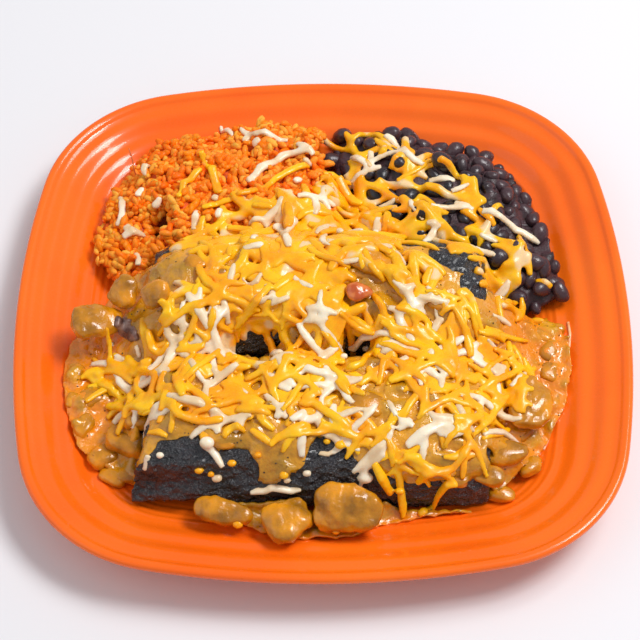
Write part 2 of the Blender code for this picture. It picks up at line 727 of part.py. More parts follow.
def main():
    for obj in list(bpy.data.objects):
        bpy.data.objects.remove(obj)
    dish = bpy.data.collections.new("enchiladas")
    bpy.context.scene.collection.children.link(dish)

    def hulls():
        return [roll_hull(FRONT_ROLL, True, dish), roll_hull(BACK_ROLL, False, dish)]

    plate = make_plate(dish)
    front = loft("enchilada_front", roll_rings(FRONT_ROLL, True), dish)
    back = loft("enchilada_back", roll_rings(BACK_ROLL, False), dish)

    beans = make_beans(dish)
    boolean(beans, hulls(), "DIFFERENCE")
    rice = make_rice(dish)
    boolean(rice, [*hulls(), heap_prism(BEAN_MIDDLE, BEAN_EDGE, BEAN_SPOKES, dish)], "DIFFERENCE")

    rings = heap_rings(SAUCE_MIDDLE, SAUCE_EDGE, SAUCE_SPOKES, SAUCE_STEPS, sauce_z)
    sauce = loft("chile_sauce", rings, dish)
    cutters = [*hulls(), heap_prism(BEAN_MIDDLE, BEAN_EDGE, BEAN_SPOKES, dish)]
    cutters.append(heap_prism(RICE_MIDDLE, RICE_EDGE, RICE_SPOKES, dish))
    boolean(sauce, cutters, "DIFFERENCE")

    carried = surface_of([front, back, rice, beans, sauce])
    pieces = [make_piece(name, *facts, carried, dish) for name, facts in PIECES.items()]

    # The cheese drapes over the rest, and the pieces of chile and tomato stand through it
    beds = [front, back, rice, beans, sauce]
    cheese = make_cheese(beds, dish)
    boolean(cheese, [grown_copy(obj, GAP + 0.1, dish) for obj in [*beds, *pieces]], "DIFFERENCE")

    finish(plate, "orange_glaze", (0.9, 0.16, 0.008), 0.12)
    for roll in (front, back):
        finish(roll, "blue_corn_tortilla", (0.02, 0.022, 0.032), 0.5)
    finish(beans, "black_bean", (0.022, 0.012, 0.014), 0.25)
    finish(rice, "red_rice", (0.85, 0.2, 0.01), 0.4)
    finish(sauce, "green_chile_sauce", (0.3, 0.17, 0.02), 0.2)
    for piece in pieces:
        if piece.name.startswith("chile"):
            finish(piece, "green_chile", (0.32, 0.19, 0.012), 0.25)
        else:
            finish(piece, "tomato", (0.75, 0.16, 0.02), 0.25)
    finish(cheese, "melted_cheese", (0.95, 0.45, 0.02), 0.35)


main()
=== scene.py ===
# Plated enchiladas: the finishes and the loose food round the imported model.
# The frame is in metres. The values below are in millimetres, turned into metres by mm.
import math
import random

import bmesh
import bpy
from mathutils import Matrix, Vector, noise
from mathutils.bvhtree import BVHTree


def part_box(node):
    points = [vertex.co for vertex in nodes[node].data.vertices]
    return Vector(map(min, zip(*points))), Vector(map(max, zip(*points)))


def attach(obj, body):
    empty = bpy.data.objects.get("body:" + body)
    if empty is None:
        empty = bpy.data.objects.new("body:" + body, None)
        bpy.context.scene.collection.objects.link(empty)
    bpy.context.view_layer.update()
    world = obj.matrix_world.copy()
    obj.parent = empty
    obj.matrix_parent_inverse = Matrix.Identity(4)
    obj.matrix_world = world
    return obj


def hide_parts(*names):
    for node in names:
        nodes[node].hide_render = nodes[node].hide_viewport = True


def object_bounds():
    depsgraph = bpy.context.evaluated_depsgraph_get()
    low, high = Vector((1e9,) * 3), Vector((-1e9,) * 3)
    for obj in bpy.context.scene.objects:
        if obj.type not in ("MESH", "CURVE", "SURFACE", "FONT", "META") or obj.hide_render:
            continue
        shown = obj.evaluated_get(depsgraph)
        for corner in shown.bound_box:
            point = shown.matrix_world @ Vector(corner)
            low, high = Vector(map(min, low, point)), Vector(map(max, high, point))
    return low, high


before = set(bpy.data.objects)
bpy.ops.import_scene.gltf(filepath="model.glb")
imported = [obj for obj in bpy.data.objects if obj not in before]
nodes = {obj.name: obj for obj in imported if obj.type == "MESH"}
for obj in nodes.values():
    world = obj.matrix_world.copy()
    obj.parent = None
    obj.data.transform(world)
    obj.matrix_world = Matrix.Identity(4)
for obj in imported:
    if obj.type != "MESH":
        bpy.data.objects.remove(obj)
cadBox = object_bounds()
mm = 0.001
rayFrom = 0.2  # metres, well above the part
down = Vector((0, 0, -1))
up = Vector((0, 0, 1))


# Numbers

def ease(a, b, x):
    # Rises from 0 at a to 1 at b
    t = min(1.0, max(0.0, (x - a) / (b - a)))
    return t * t * (3 - 2 * t)


def between(a, b, t):
    return a + (b - a) * t


def wave(x, y, size, seed=0.0):
    # Smooth noise from about -1 to 1, with bumps of that size in millimetres
    return noise.noise(Vector((x / size, y / size, seed * 7.3)))


def insideShare(x, y, shape):
    # Below 1 inside an oval: (middle x, middle y, half width, half depth, turn in degrees)
    middleX, middleY, halfWide, halfDeep, turn = shape
    c, s = math.cos(math.radians(turn)), math.sin(math.radians(turn))
    across, along = x - middleX, y - middleY
    return math.hypot((across * c + along * s) / halfWide, (along * c - across * s) / halfDeep)


def patchShare(x, y, shapes, edge=0.25):
    # 1 inside any of the ovals, 0 outside, soft at the edge
    return max((ease(1 + edge, 1 - edge, insideShare(x, y, shape)) for shape in shapes), default=0.0)


def polygonGap(x, y, corners):
    # Distance from the outline of a polygon, above 0 inside it
    inside, nearest = False, math.inf
    for (ax, ay), (bx, by) in zip(corners, corners[1:] + corners[:1]):
        if (ay > y) != (by > y) and x < (bx - ax) * (y - ay) / (by - ay) + ax:
            inside = not inside
        long = (bx - ax) ** 2 + (by - ay) ** 2
        t = min(1.0, max(0.0, ((x - ax) * (bx - ax) + (y - ay) * (by - ay)) / long))
        nearest = min(nearest, math.hypot(ax + (bx - ax) * t - x, ay + (by - ay) * t - y))
    return nearest if inside else -nearest


def lumpShare(x, y, size, seed=0.0):
    # Rounded lumps of about that size: 0 in the creases between them, 1 on their tops
    near = noise.voronoi(Vector((x / size, y / size, seed * 7.3)))[0]
    return ease(0.0, 0.55, near[1] - near[0])


# Meshes

def placed(name, data):
    obj = bpy.data.objects.new(name, data)
    bpy.context.scene.collection.objects.link(obj)
    return obj


def newPiece(name, mesh, look):
    mesh.name = name
    obj = placed(name, mesh)
    mesh.materials.clear()
    mesh.materials.append(materials[look])
    mesh.shade_smooth()
    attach(obj, "root")
    return obj


def meshOf(bm, name="mesh"):
    mesh = bpy.data.meshes.new(name)
    bm.to_mesh(mesh)
    bm.free()
    return mesh


def done(stage, *pieces):
    print(stage, "done", [len(piece.data.polygons) for piece in pieces])


def pairs(numbers):
    # x, y, x, y ... as points
    return list(zip(numbers[::2], numbers[1::2]))


def treeOf(meshes):
    bm = bmesh.new()
    for mesh in meshes:
        bm.from_mesh(mesh)
    tree = BVHTree.FromBMesh(bm)
    bm.free()
    return tree


def topOf(tree, x, y, otherwise=None):
    # Height in millimetres of the first thing below a place, and its normal
    place, normal, _, _ = tree.ray_cast(Vector((x * mm, y * mm, rayFrom)), down)
    if place is None:
        return otherwise, up
    return place.z / mm, normal


def paint(mesh, label, values):
    # One number for each point, for its material
    layer = mesh.attributes.new(label, "FLOAT", "POINT")
    layer.data.foreach_set("value", values)


toneBias = 2.5  # above 1, most copies have a low tone


def scatter(shape, places, rng):
    # One mesh with a copy of the shape at each place
    bm = bmesh.new()
    for place in places:
        copy = shape.copy()
        copy.transform(place)
        bm.from_mesh(copy)
        bpy.data.meshes.remove(copy)
    mesh = meshOf(bm)
    tones = [rng.random() ** toneBias for _ in places]
    paint(mesh, "tone", [tone for tone in tones for _ in shape.vertices])
    return mesh


def smoothed(bm, verts, axes="xyz"):
    bmesh.ops.smooth_vert(
        bm, verts=verts, factor=0.5, use_axis_x="x" in axes, use_axis_y="y" in axes, use_axis_z="z" in axes,
    )


def evaluated(holder):
    # The mesh that an object comes to. The object goes.
    graph = bpy.context.evaluated_depsgraph_get()
    mesh = bpy.data.meshes.new_from_object(holder.evaluated_get(graph))
    bpy.data.objects.remove(holder)
    return mesh


sortAlong = Vector((1, 7.31, 53.17))  # no two faces lie equally far along this


def inOrder(bm):
    # The same order of faces in each run, as random places go by it
    bm.faces.sort(key=lambda face: face.calc_center_median().dot(sortAlong))


def remeshed(mesh, voxel, rounds):
    # A closed, even skin over everything in the mesh, then smoothed
    holder = placed("holder", mesh)
    modifier = holder.modifiers.new("skin", "REMESH")
    modifier.mode = "VOXEL"
    modifier.voxel_size = voxel * mm
    made = evaluated(holder)
    bm = bmesh.new()
    bm.from_mesh(made)
    for _ in range(rounds):
        smoothed(bm, bm.verts)
    bm.to_mesh(made)
    bm.free()
    return made


def mergedCopy(name):
    bm = bmesh.new()
    bm.from_mesh(nodes[name].data)
    bmesh.ops.remove_doubles(bm, verts=bm.verts, dist=0.00001)
    return meshOf(bm)


def roughen(mesh, amount):
    # Moves every point along its normal by amount(x, y, z), in millimetres
    moves = [amount(*(vert.co / mm)) for vert in mesh.vertices]
    normals = [vert.normal.copy() for vert in mesh.vertices]
    for vert, normal, move in zip(mesh.vertices, normals, moves):
        vert.co += normal * move * mm


def tubes(paths):
    # Round strands through lists of (point in millimetres, radius in millimetres)
    curve = bpy.data.curves.new("tubes", "CURVE")
    curve.dimensions = "3D"
    curve.bevel_depth = mm
    curve.bevel_resolution = 2
    curve.use_fill_caps = True
    for path in paths:
        spline = curve.splines.new("POLY")
        spline.points.add(len(path) - 1)
        for spot, (point, radius) in zip(spline.points, path):
            spot.co = (*(point * mm), 1)
            spot.radius = radius
    return evaluated(placed("holder", curve))


# Camera. Pixels, here and below, are those of a picture 640 wide.

view = dict(
    target=(-0.0012, 0.0002, 0.015),
    distance=0.8795,
    elevation=54.094,  # degrees above the table
    azimuth=-0.05,
    roll=-0.312,
    focal=1960.68,  # pixels
    sensor=36,
    picture=640,  # pixels
)
pictureMiddle = view["picture"] / 2
elevation, azimuth = math.radians(view["elevation"]), math.radians(view["azimuth"])
cameraData = bpy.data.cameras.new("camera")
cameraData.sensor_width = view["sensor"]
cameraData.lens = view["focal"] * view["sensor"] / view["picture"]
camera = placed("camera", cameraData)
aimLevel = math.cos(elevation)
aim = Vector((aimLevel * math.sin(azimuth), -aimLevel * math.cos(azimuth), math.sin(elevation)))
camera.location = Vector(view["target"]) + aim * view["distance"]
cameraTurn = aim.to_track_quat("Z", "Y") @ Matrix.Rotation(math.radians(view["roll"]), 3, "Z").to_quaternion()
camera.rotation_euler = cameraTurn.to_euler()
bpy.context.scene.camera = camera


def underPixel(tree, across, below):
    # The place in millimetres that the camera sees at a pixel
    aside, above = across - pictureMiddle, pictureMiddle - below
    aimed = cameraTurn @ Vector((aside / view["focal"], above / view["focal"], -1))
    return tree.ray_cast(camera.location, aimed)[0] / mm


def pixelOf(x, y, z):
    # The pixel at which the camera sees a place in millimetres
    seen = cameraTurn.inverted() @ (Vector((x, y, z)) * mm - camera.location)
    return pictureMiddle - seen.x / seen.z * view["focal"], pictureMiddle + seen.y / seen.z * view["focal"]


# Shader groups

def setValues(node, values):
    for label, value in values.items():
        node.inputs[label].default_value = value


def makeMottle():
    # Two colours in soft patches, with finer grain for roughness and relief
    group = bpy.data.node_groups.new("mottle", "ShaderNodeTree")
    numbers = ("Patch Scale", "Patch Low", "Patch High", "Grain Scale", "Rough Low", "Rough High")
    for side, kind, labels in (
        ("INPUT", "NodeSocketColor", ("Colour A", "Colour B")), ("INPUT", "NodeSocketFloat", numbers),
        ("OUTPUT", "NodeSocketColor", ("Colour",)), ("OUTPUT", "NodeSocketFloat", ("Roughness", "Height")),
    ):
        for label in labels:
            group.interface.new_socket(label, in_out=side, socket_type=kind)
    make = group.nodes.new
    source, result, place = make("NodeGroupInput"), make("NodeGroupOutput"), make("ShaderNodeTexCoord")
    patches, grain = make("ShaderNodeTexNoise"), make("ShaderNodeTexNoise")
    setValues(patches, {"Detail": 3})
    setValues(grain, {"Detail": 4})
    share, blend, rough = make("ShaderNodeMapRange"), make("ShaderNodeMix"), make("ShaderNodeMapRange")
    blend.data_type = "RGBA"
    setValues(rough, {"From Min": 0.35, "From Max": 0.65})
    links = [
        (place, "Object", patches, "Vector"), (source, "Patch Scale", patches, "Scale"),
        (place, "Object", grain, "Vector"), (source, "Grain Scale", grain, "Scale"),
        (patches, "Fac", share, "Value"),
        (source, "Patch Low", share, "From Min"), (source, "Patch High", share, "From Max"),
        (share, "Result", blend, "Factor"), (source, "Colour A", blend, "A"), (source, "Colour B", blend, "B"),
        (grain, "Fac", rough, "Value"),
        (source, "Rough Low", rough, "To Min"), (source, "Rough High", rough, "To Max"),
        (blend, "Result", result, "Colour"), (rough, "Result", result, "Roughness"),
        (grain, "Fac", result, "Height"),
    ]
    for start, label, end, entry in links:
        group.links.new(start.outputs[label], end.inputs[entry])
    return group


mottle = makeMottle()


def makeMaterial(name, look):
    # A Principled surface with mottled colour, roughness and relief. The look's tone and tint
    # colours, where given, are mixed in by the mesh attributes of those names.
    material = bpy.data.materials.new(name)
    material.use_nodes = True
    tree = material.node_tree
    shader = tree.nodes["Principled BSDF"]
    base = tree.nodes.new("ShaderNodeGroup")
    base.node_tree = mottle
    values = {
        "Colour A": (*look["colours"][0], 1), "Colour B": (*look["colours"][1], 1),
        "Patch Scale": 1000 / look["patch"], "Grain Scale": 1000 / look["grain"],
    }
    values["Patch Low"], values["Patch High"] = look.get("edge", (0.4, 0.6))
    values["Rough Low"], values["Rough High"] = look["rough"]
    setValues(base, values)
    colour = base.outputs["Colour"]
    for layer in ("tone", "tint"):
        if layer in look:
            attribute = tree.nodes.new("ShaderNodeAttribute")
            attribute.attribute_name = layer
            blend = tree.nodes.new("ShaderNodeMix")
            blend.data_type = "RGBA"
            tree.links.new(attribute.outputs["Fac"], blend.inputs["Factor"])
            tree.links.new(colour, blend.inputs["A"])
            setValues(blend, {"B": (*look[layer], 1)})
            colour = blend.outputs["Result"]
    tree.links.new(colour, shader.inputs["Base Color"])
    tree.links.new(base.outputs["Roughness"], shader.inputs["Roughness"])
    bump = tree.nodes.new("ShaderNodeBump")
    setValues(bump, {"Strength": look.get("relief", 0.3), "Distance": look.get("deep", 0.5) * mm})
    tree.links.new(base.outputs["Height"], bump.inputs["Height"])
    tree.links.new(bump.outputs["Normal"], shader.inputs["Normal"])
    setValues(shader, {
        "Specular IOR Level": look.get("shine", 0.5),
        "Coat Weight": look.get("coat", 0.0), "Coat Roughness": look.get("coatRough", 0.1),
        "Subsurface Weight": look.get("soft", 0.0), "Subsurface Radius": look.get("softRadius", (1, 0.5, 0.2)),
        "Subsurface Scale": look.get("softScale", 2.0) * mm,
    })
    return material


# patch and grain are sizes in millimetres, deep and softScale too. edge is the noise between
# which the first colour turns into the second.
looks = dict(
    orangeGlaze=dict(
        colours=((0.98, 0.137, 0.004), (1.0, 0.163, 0.006)), patch=70, grain=3,
        rough=(0.25, 0.29), relief=0.01, shine=0.2, coat=0.55, coatRough=0.075,
    ),
    cornTortilla=dict(
        colours=((0.003, 0.003, 0.006), (0.014, 0.014, 0.022)), patch=7, grain=1.6,
        edge=(0.4, 0.7), rough=(0.14, 0.4), relief=1.0, deep=3.0, coat=0.5,
        coatRough=0.18, shine=0.8,
    ),
    chileSauce=dict(
        colours=((0.37, 0.185, 0.005), (0.80, 0.36, 0.009)), patch=12, grain=2.2,
        edge=(0.3, 0.68), tint=(0.96, 0.27, 0.003), rough=(0.08, 0.26), relief=0.6,
        deep=1.4, coat=0.8, coatRough=0.06, soft=0.1, softScale=4, softRadius=(1, 0.5, 0.1),
        shine=0.4,
    ),
    greenChile=dict(
        colours=((0.30, 0.118, 0.002), (0.84, 0.32, 0.005)), patch=10, grain=1.8,
        edge=(0.3, 0.7), rough=(0.1, 0.32), relief=0.5, deep=0.9, coat=0.6, coatRough=0.07,
        soft=0.1, softScale=4, softRadius=(1, 0.5, 0.1), shine=0.35,
    ),
    ripeTomato=dict(
        colours=((0.55, 0.09, 0.012), (0.75, 0.2, 0.035)), patch=4, grain=1.5,
        rough=(0.1, 0.25), coat=0.5, soft=0.2,
    ),
    redRice=dict(
        colours=((0.98, 0.15, 0.002), (1.0, 0.25, 0.004)), patch=14, grain=1.2,
        edge=(0.35, 0.65), tone=(1.0, 0.47, 0.06), rough=(0.25, 0.45), relief=0.12,
        soft=0.25, softScale=2, softRadius=(1, 0.4, 0.1), shine=0.16,
    ),
    riceBed=dict(
        # tint: painted shade, a near-black colour mixed in over the hollow in the rice bed
        colours=((0.45, 0.05, 0.003), (0.8, 0.13, 0.006)), patch=5, grain=1.5, tint=(0.09, 0.014, 0.004),
        rough=(0.4, 0.6), relief=0.6, deep=1.0, shine=0.3,
    ),
    blackBean=dict(
        colours=((0.005, 0.003, 0.006), (0.014, 0.008, 0.013)), patch=6, grain=1.5,
        tint=(0.066, 0.029, 0.036), rough=(0.2, 0.5), relief=0.35, deep=0.8, coat=0.2,
    ),
    beanPaste=dict(
        colours=((0.022, 0.009, 0.012), (0.07, 0.03, 0.036)), patch=6, grain=1.2,
        rough=(0.3, 0.5), relief=0.6, deep=0.8,
    ),
    softTortilla=dict(
        colours=((0.10, 0.045, 0.04), (0.34, 0.2, 0.16)), patch=5, grain=1.5,
        rough=(0.15, 0.35), relief=0.5, deep=0.8, coat=0.3,
    ),
    paleFilm=dict(
        colours=((1.0, 0.36, 0.12), (1.0, 0.6, 0.34)), patch=6, grain=1.5,
        rough=(0.1, 0.3), soft=0.2,
    ),
    yellowCheese=dict(
        colours=((1.0, 0.37, 0.001), (1.0, 0.54, 0.006)), patch=13, grain=2.5,
        edge=(0.36, 0.62), rough=(0.2, 0.36), relief=0.12, coat=0.1,
        tint=(0.86, 0.64, 0.36), soft=0.2, softScale=2, softRadius=(1, 0.6, 0.1), shine=0.4,
    ),
    whiteCheese=dict(
        colours=((0.80, 0.58, 0.34), (0.96, 0.82, 0.62)), patch=12, grain=2,
        rough=(0.2, 0.4), relief=0.12, coat=0.1,
        soft=0.3, softScale=2.5, softRadius=(1, 0.8, 0.6), shine=0.45,
    ),
    blackPepper=dict(
        colours=((0.01, 0.007, 0.005), (0.05, 0.03, 0.02)), patch=1, grain=0.5,
        rough=(0.5, 0.7),
    ),
)
materials = {name: makeMaterial(name, look) for name, look in looks.items()}


# Plate: a profile turned round the middle, then drawn out to the square outline

plateShape = dict(
    half=136.5,  # middle to side
    sideArc=407.0,
    cornerArc=68.5,
    squareTo=50.0,  # rings farther in keep this ring's shape
    wellZ=8.0, wellSoft=1.2, wellDrop=0.25,
    wellRings=[46.0, 49.0, 52.0, 55.0, 80.0, 110.0, 136.5],
    rimTop=22.6, rimSlope=0.44, rimFrom=5.0, rimTo=32.0, rimEnd=46.0,
    ridgePitch=10.5, ridgeFirst=11.5, ridgeHigh=0.5,
    fineFrom=29.0, fineTo=41.0, finePitch=3.1, fineHigh=0.16,
    # Distance from the outline, and height
    lip=[
        (0.9, 20.2), (0.3, 20.7), (0.0, 21.4), (0.0, 22.2), (0.3, 23.0), (1.0, 23.55), (1.9, 23.75),
        (2.8, 23.65), (3.7, 23.25), (4.4, 22.9),
    ],
    under=[
        (136.5, 3.2), (100.0, 3.2), (58.0, 3.2), (55.5, 2.0), (54.0, 1.0), (53.5, 0.3), (52.8, 0.0),
        (50.0, 0.0), (47.2, 0.0), (46.4, 0.4), (45.5, 1.2), (42.0, 2.4), (38.0, 3.4), (27.0, 8.6),
        (16.0, 13.6), (8.0, 17.0), (2.5, 19.5),
    ],
    steps=256,
)
plateHalf, sideArc, cornerArc = (plateShape[label] for label in ("half", "sideArc", "cornerArc"))
flatSide = sideArc - plateHalf
arcApart = sideArc - cornerArc
cornerAt = (math.sqrt(2 * arcApart**2 - flatSide**2) - flatSide) / 2
sideSpan = math.atan2(cornerAt, cornerAt + flatSide)


def insetAt(x, y):
    # How far a place lies inside the outline
    far, near = max(abs(x), abs(y)), min(abs(x), abs(y))
    if math.atan2(near, far + flatSide) <= sideSpan:
        return sideArc - math.hypot(far + flatSide, near)
    return cornerArc - math.hypot(far - cornerAt, near - cornerAt)


def rimZ(inset):
    shape = plateShape
    ridges = shape["ridgeHigh"] * math.cos(2 * math.pi * (inset - shape["ridgeFirst"]) / shape["ridgePitch"])
    slope = shape["rimTop"] - shape["rimSlope"] * (inset - shape["rimFrom"])
    fine = shape["fineHigh"] * math.cos(2 * math.pi * inset / shape["finePitch"])
    fine *= ease(shape["fineFrom"], shape["fineFrom"] + 2, inset) * ease(shape["fineTo"], shape["fineTo"] - 2, inset)
    ridges *= ease(shape["rimTo"] + 3, shape["rimTo"] - 4, inset)
    # The slope runs out into the flat well
    well, soft = shape["wellZ"], shape["wellSoft"]
    if inset >= shape["rimEnd"]:
        return well
    rise = slope - well
    return well + (rise + math.sqrt(rise * rise + 4 * soft * soft)) / 2 - shape["wellDrop"] + ridges + fine


def squareOff(x, y):
    # Moves a point from the round profile to the plate's outline with four sides
    radius = math.hypot(x, y)
    if radius < 1e-4:
        return x, y
    inset = plateHalf - radius
    turn = math.atan2(y, x)
    quarter = round(turn / (math.pi / 2)) * math.pi / 2
    share = (turn - quarter) / (math.pi / 4)
    sideLong = sideSpan * sideArc
    cornerLong = (math.pi / 4 - sideSpan) * cornerArc
    walk = abs(share) * (sideLong + cornerLong)
    kept = min(inset, plateShape["squareTo"])
    if walk <= sideLong:
        local = walk / sideArc
        middle, arc = (-flatSide, 0.0), sideArc - kept
    else:
        local = sideSpan + (walk - sideLong) / cornerArc
        middle, arc = (cornerAt, cornerAt), cornerArc - kept
    px = middle[0] + arc * math.cos(local)
    py = math.copysign(middle[1] + arc * math.sin(local), share)
    inner = (plateHalf - inset) / (plateHalf - kept)
    c, s = math.cos(quarter), math.sin(quarter)
    return (px * c - py * s) * inner, (px * s + py * c) * inner


def makePlate():
    shape = plateShape
    rimSteps = range(int(shape["rimFrom"] * 2), int(shape["rimEnd"] * 2))
    profile = shape["under"] + shape["lip"] + [(k / 2, rimZ(k / 2)) for k in rimSteps]
    profile += [(inset, shape["wellZ"]) for inset in shape["wellRings"]]
    bm = bmesh.new()
    # Ring by ring, not by a spin, so that the points have the same order in each run
    last = None
    for inset, z in profile:
        radius = plateHalf - inset
        turns = [math.tau * k / shape["steps"] for k in range(shape["steps"] if radius else 1)]
        places = [squareOff(radius * math.cos(turn), radius * math.sin(turn)) for turn in turns]
        ring = [bm.verts.new((x * mm, y * mm, z * mm)) for x, y in places]
        ring *= shape["steps"] // len(ring)
        if last:
            for k in range(shape["steps"]):
                bm.faces.new(dict.fromkeys((last[k - 1], last[k], ring[k], ring[k - 1])))
        last = ring
    bmesh.ops.recalc_face_normals(bm, faces=bm.faces)
    plate = newPiece("glazedPlate", meshOf(bm), "orangeGlaze")
    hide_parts("plate")
    return plate


plate = makePlate()
plateTree = treeOf([plate.data])
done("plate", plate)


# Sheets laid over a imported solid: a grid of heights with a thickness. Their values: the grid's
# pitch, rounds of smoothing, steps over which the edge runs out where the sheet is lower than
# edgeHigh, how thick it is there, and its thickness

edgeRounds = 8


def ringsFromEdge(bm, count):
    # How many steps each point is from the sheet's edge, up to count
    steps = {vert: 0 for vert in bm.verts if vert.is_boundary}
    front = list(steps)
    for ring in range(1, count):
        following = []
        for vert in front:
            for edge in vert.link_edges:
                other = edge.other_vert(vert)
                if other not in steps:
                    steps[other] = ring
                    following.append(other)
        front = following
    return steps


def laidSheet(solid, shape, over=None, under=plateTree):
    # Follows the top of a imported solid, and runs out thin on the plate at its edge
    low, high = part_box(solid)
    tree = treeOf([nodes[solid].data])
    pitch = shape["pitch"]
    wide, deep = (high.x - low.x) / mm, (high.y - low.y) / mm
    bm = bmesh.new()
    bmesh.ops.create_grid(bm, x_segments=int(wide / pitch), y_segments=int(deep / pitch), size=0.5)
    bmesh.ops.scale(bm, vec=(wide * mm, deep * mm, 1), verts=bm.verts)
    bmesh.ops.translate(bm, vec=((low.x + high.x) / 2, (low.y + high.y) / 2, 0), verts=bm.verts)
    outside = []
    for vert in bm.verts:
        height, _ = topOf(tree, vert.co.x / mm, vert.co.y / mm)
        if over:
            height = over(vert.co.x / mm, vert.co.y / mm, height)
        if height is None:
            outside.append(vert)
        else:
            vert.co.z = height * mm
    bmesh.ops.delete(bm, geom=outside, context="VERTS")
    loose = [vert for vert in bm.verts if len(vert.link_faces) < 2]
    bmesh.ops.delete(bm, geom=loose, context="VERTS")
    for _ in range(edgeRounds):
        smoothed(bm, [vert for vert in bm.verts if vert.is_boundary], "xy")
    for _ in range(shape["smooth"]):
        smoothed(bm, bm.verts, "z")
    steps = ringsFromEdge(bm, shape["run"])
    tint = bm.verts.layers.float.new("tint")
    for vert in bm.verts:
        x, y = vert.co.x / mm, vert.co.y / mm
        floor, _ = topOf(under, x, y, plateShape["wellZ"])
        z = vert.co.z / mm + shape["lumps"](x, y, vert.co.z / mm - floor)
        ring = steps.get(vert, shape["run"])
        if z - floor < shape["edgeHigh"] or ring == 0:
            z = between(floor + shape["edgeThick"], z, ease(0, shape["run"], ring))
        vert.co.z = max(z, floor + shape["edgeThick"]) * mm
        vert[tint] = shape["tint"](x, y, vert.co.z / mm)
    bmesh.ops.recalc_face_normals(bm, faces=bm.faces)
    if sum(face.normal.z for face in bm.faces) < 0:
        bmesh.ops.reverse_faces(bm, faces=bm.faces)
    bmesh.ops.solidify(bm, geom=bm.faces[:], thickness=shape["thick"] * mm)
    bmesh.ops.recalc_face_normals(bm, faces=bm.faces)
    inOrder(bm)
    return meshOf(bm)


# Enchiladas

# Height and size along each axis of the bumps: long creases, blisters and fine wrinkles
tortillaShape = dict(
    voxel=1.0,
    bumps=[(0.9, (40, 9, 9)), (0.6, (5, 5, 5)), (1.1, (3.2, 1.8, 1.8))],
    sink=0.3,
)


def makeRoll(name, node):
    shape = tortillaShape
    mesh = remeshed(mergedCopy(node), shape["voxel"], 3)

    def creases(x, y, z):
        bumps = [high * noise.noise(Vector((x / a, y / b, z / c))) for high, (a, b, c) in shape["bumps"]]
        return sum(bumps) - shape["sink"]

    roughen(mesh, creases)
    roll = newPiece(name, mesh, "cornTortilla")
    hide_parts(node)
    return roll


rolls = [makeRoll("frontEnchilada", "enchilada_front"), makeRoll("backEnchilada", "enchilada_back")]
done("enchiladas", *rolls)


# Sauce: lumpy with chopped chile, thin and orange where it meets the glaze

# Chopped chile in the sauce: pixel, half length, half width and height in millimetres, turn in
# degrees
choppedChile = [
    (93, 398, 6, 5, 3.6, 20), (126, 440, 9, 6.5, 4.2, -25), (104, 455, 7, 5, 3.4, 30), (137, 418, 6, 5, 3.2, 0),
    (76, 372, 5, 3.5, 2.6, 70), (112, 476, 6, 4, 3, -30), (84, 425, 6, 4, 2.8, 60), (128, 474, 5, 4, 2.6, 10),
    (72, 400, 4, 3, 2.2, 80), (506, 452, 9, 6, 3.8, 10), (488, 474, 7, 5, 3, -15), (522, 430, 6, 5, 3, 30),
    (550, 350, 6, 4, 2.6, 60), (538, 334, 7, 4, 2.8, -10), (548, 372, 5, 4, 2.6, 80), (520, 402, 6, 4.5, 3, 0),
    (500, 492, 6, 4, 2.6, -10), (530, 465, 6, 4, 2.4, 30), (556, 328, 4, 3, 2, 0), (365, 405, 8, 6, 3, 5),
    (440, 470, 7, 4.5, 2.6, 15), (402, 445, 6, 4, 2.4, -20), (455, 478, 6, 4, 2.4, 0), (370, 272, 9, 5, 2.6, -20),
    (345, 276, 6, 4.5, 2.4, 0), (400, 288, 8, 4, 2.4, -30), (436, 300, 7, 4, 2.4, -35), (205, 300, 6, 4, 2.4, 10),
    (222, 276, 6, 4, 2.4, 0), (195, 262, 5, 4, 2, 0), (256, 250, 6, 4, 2, 0), (180, 300, 5, 4, 2.4, 0),
    (260, 410, 6, 4, 2.4, 0), (190, 372, 6, 4, 2.4, 20), (225, 440, 5, 4, 2.2, 0), (440, 340, 6, 4, 2.4, 0),
    (470, 352, 6, 4, 2.4, -20),
]
rollTree = treeOf([roll.data for roll in rolls])
lumpTree = treeOf([plate.data, nodes["chile_sauce"].data, *(roll.data for roll in rolls)])
lumpPlaces = [underPixel(lumpTree, across, below) for across, below, *_ in choppedChile]


# Kinds of bump: height and size in millimetres, and seed
sauceBumps = dict(
    chunks=(3.4, 13, 3), dice=(1.3, 6, 7), fine=(1.1, 3.2, 9), clump=16, sink=1.6,
    overLump=1.25, lumpHigh=0.85,  # shares of the chopped chile's own size
)


def lumpRise(x, y):
    # How far the chopped chile lifts the sauce over it
    rise, over = 0.0, sauceBumps["overLump"]
    for place, (_, _, long, wide, high, turn) in zip(lumpPlaces, choppedChile):
        share = insideShare(x, y, (place.x, place.y, long * over, wide * over, turn))
        if share < 1:
            rise = max(rise, high * sauceBumps["lumpHigh"] * math.sqrt(1 - share * share))
    return rise


def bump(kind, noiseOf, x, y):
    high, size, seed = sauceBumps[kind]
    return high * noiseOf(x, y, size, seed)


def sauceLumps(x, y, above):
    chopped = bump("chunks", lumpShare, x, y) * ease(-0.6, 0.2, wave(x, y, sauceBumps["clump"], 5))
    chopped += bump("dice", lumpShare, x, y)
    return (chopped + bump("fine", wave, x, y)) * ease(0.5, 4, above) - sauceBumps["sink"] + lumpRise(x, y)


def sauceTint(x, y, z):
    # Orange oil at the thin edge, in the pools left and right, and in the creases between lumps
    above = z - topOf(plateTree, x, y, plateShape["wellZ"])[0]
    thin = ease(4.0, 1.0, above + 1.6 * wave(x, y, 9, 5))
    side = max(ease(60, 92, x) * ease(-100, -50, y), ease(-74, -100, x) * ease(-90, -60, y))
    crease = ease(0.7, 0.1, lumpShare(x, y, *sauceBumps["chunks"][1:])) * (0.1 + 0.7 * side)
    pool = 0.8 * side * ease(0.05, 0.4, wave(x, y, 12, 8))
    return min(1.0, max(thin, crease, pool, 0.0))


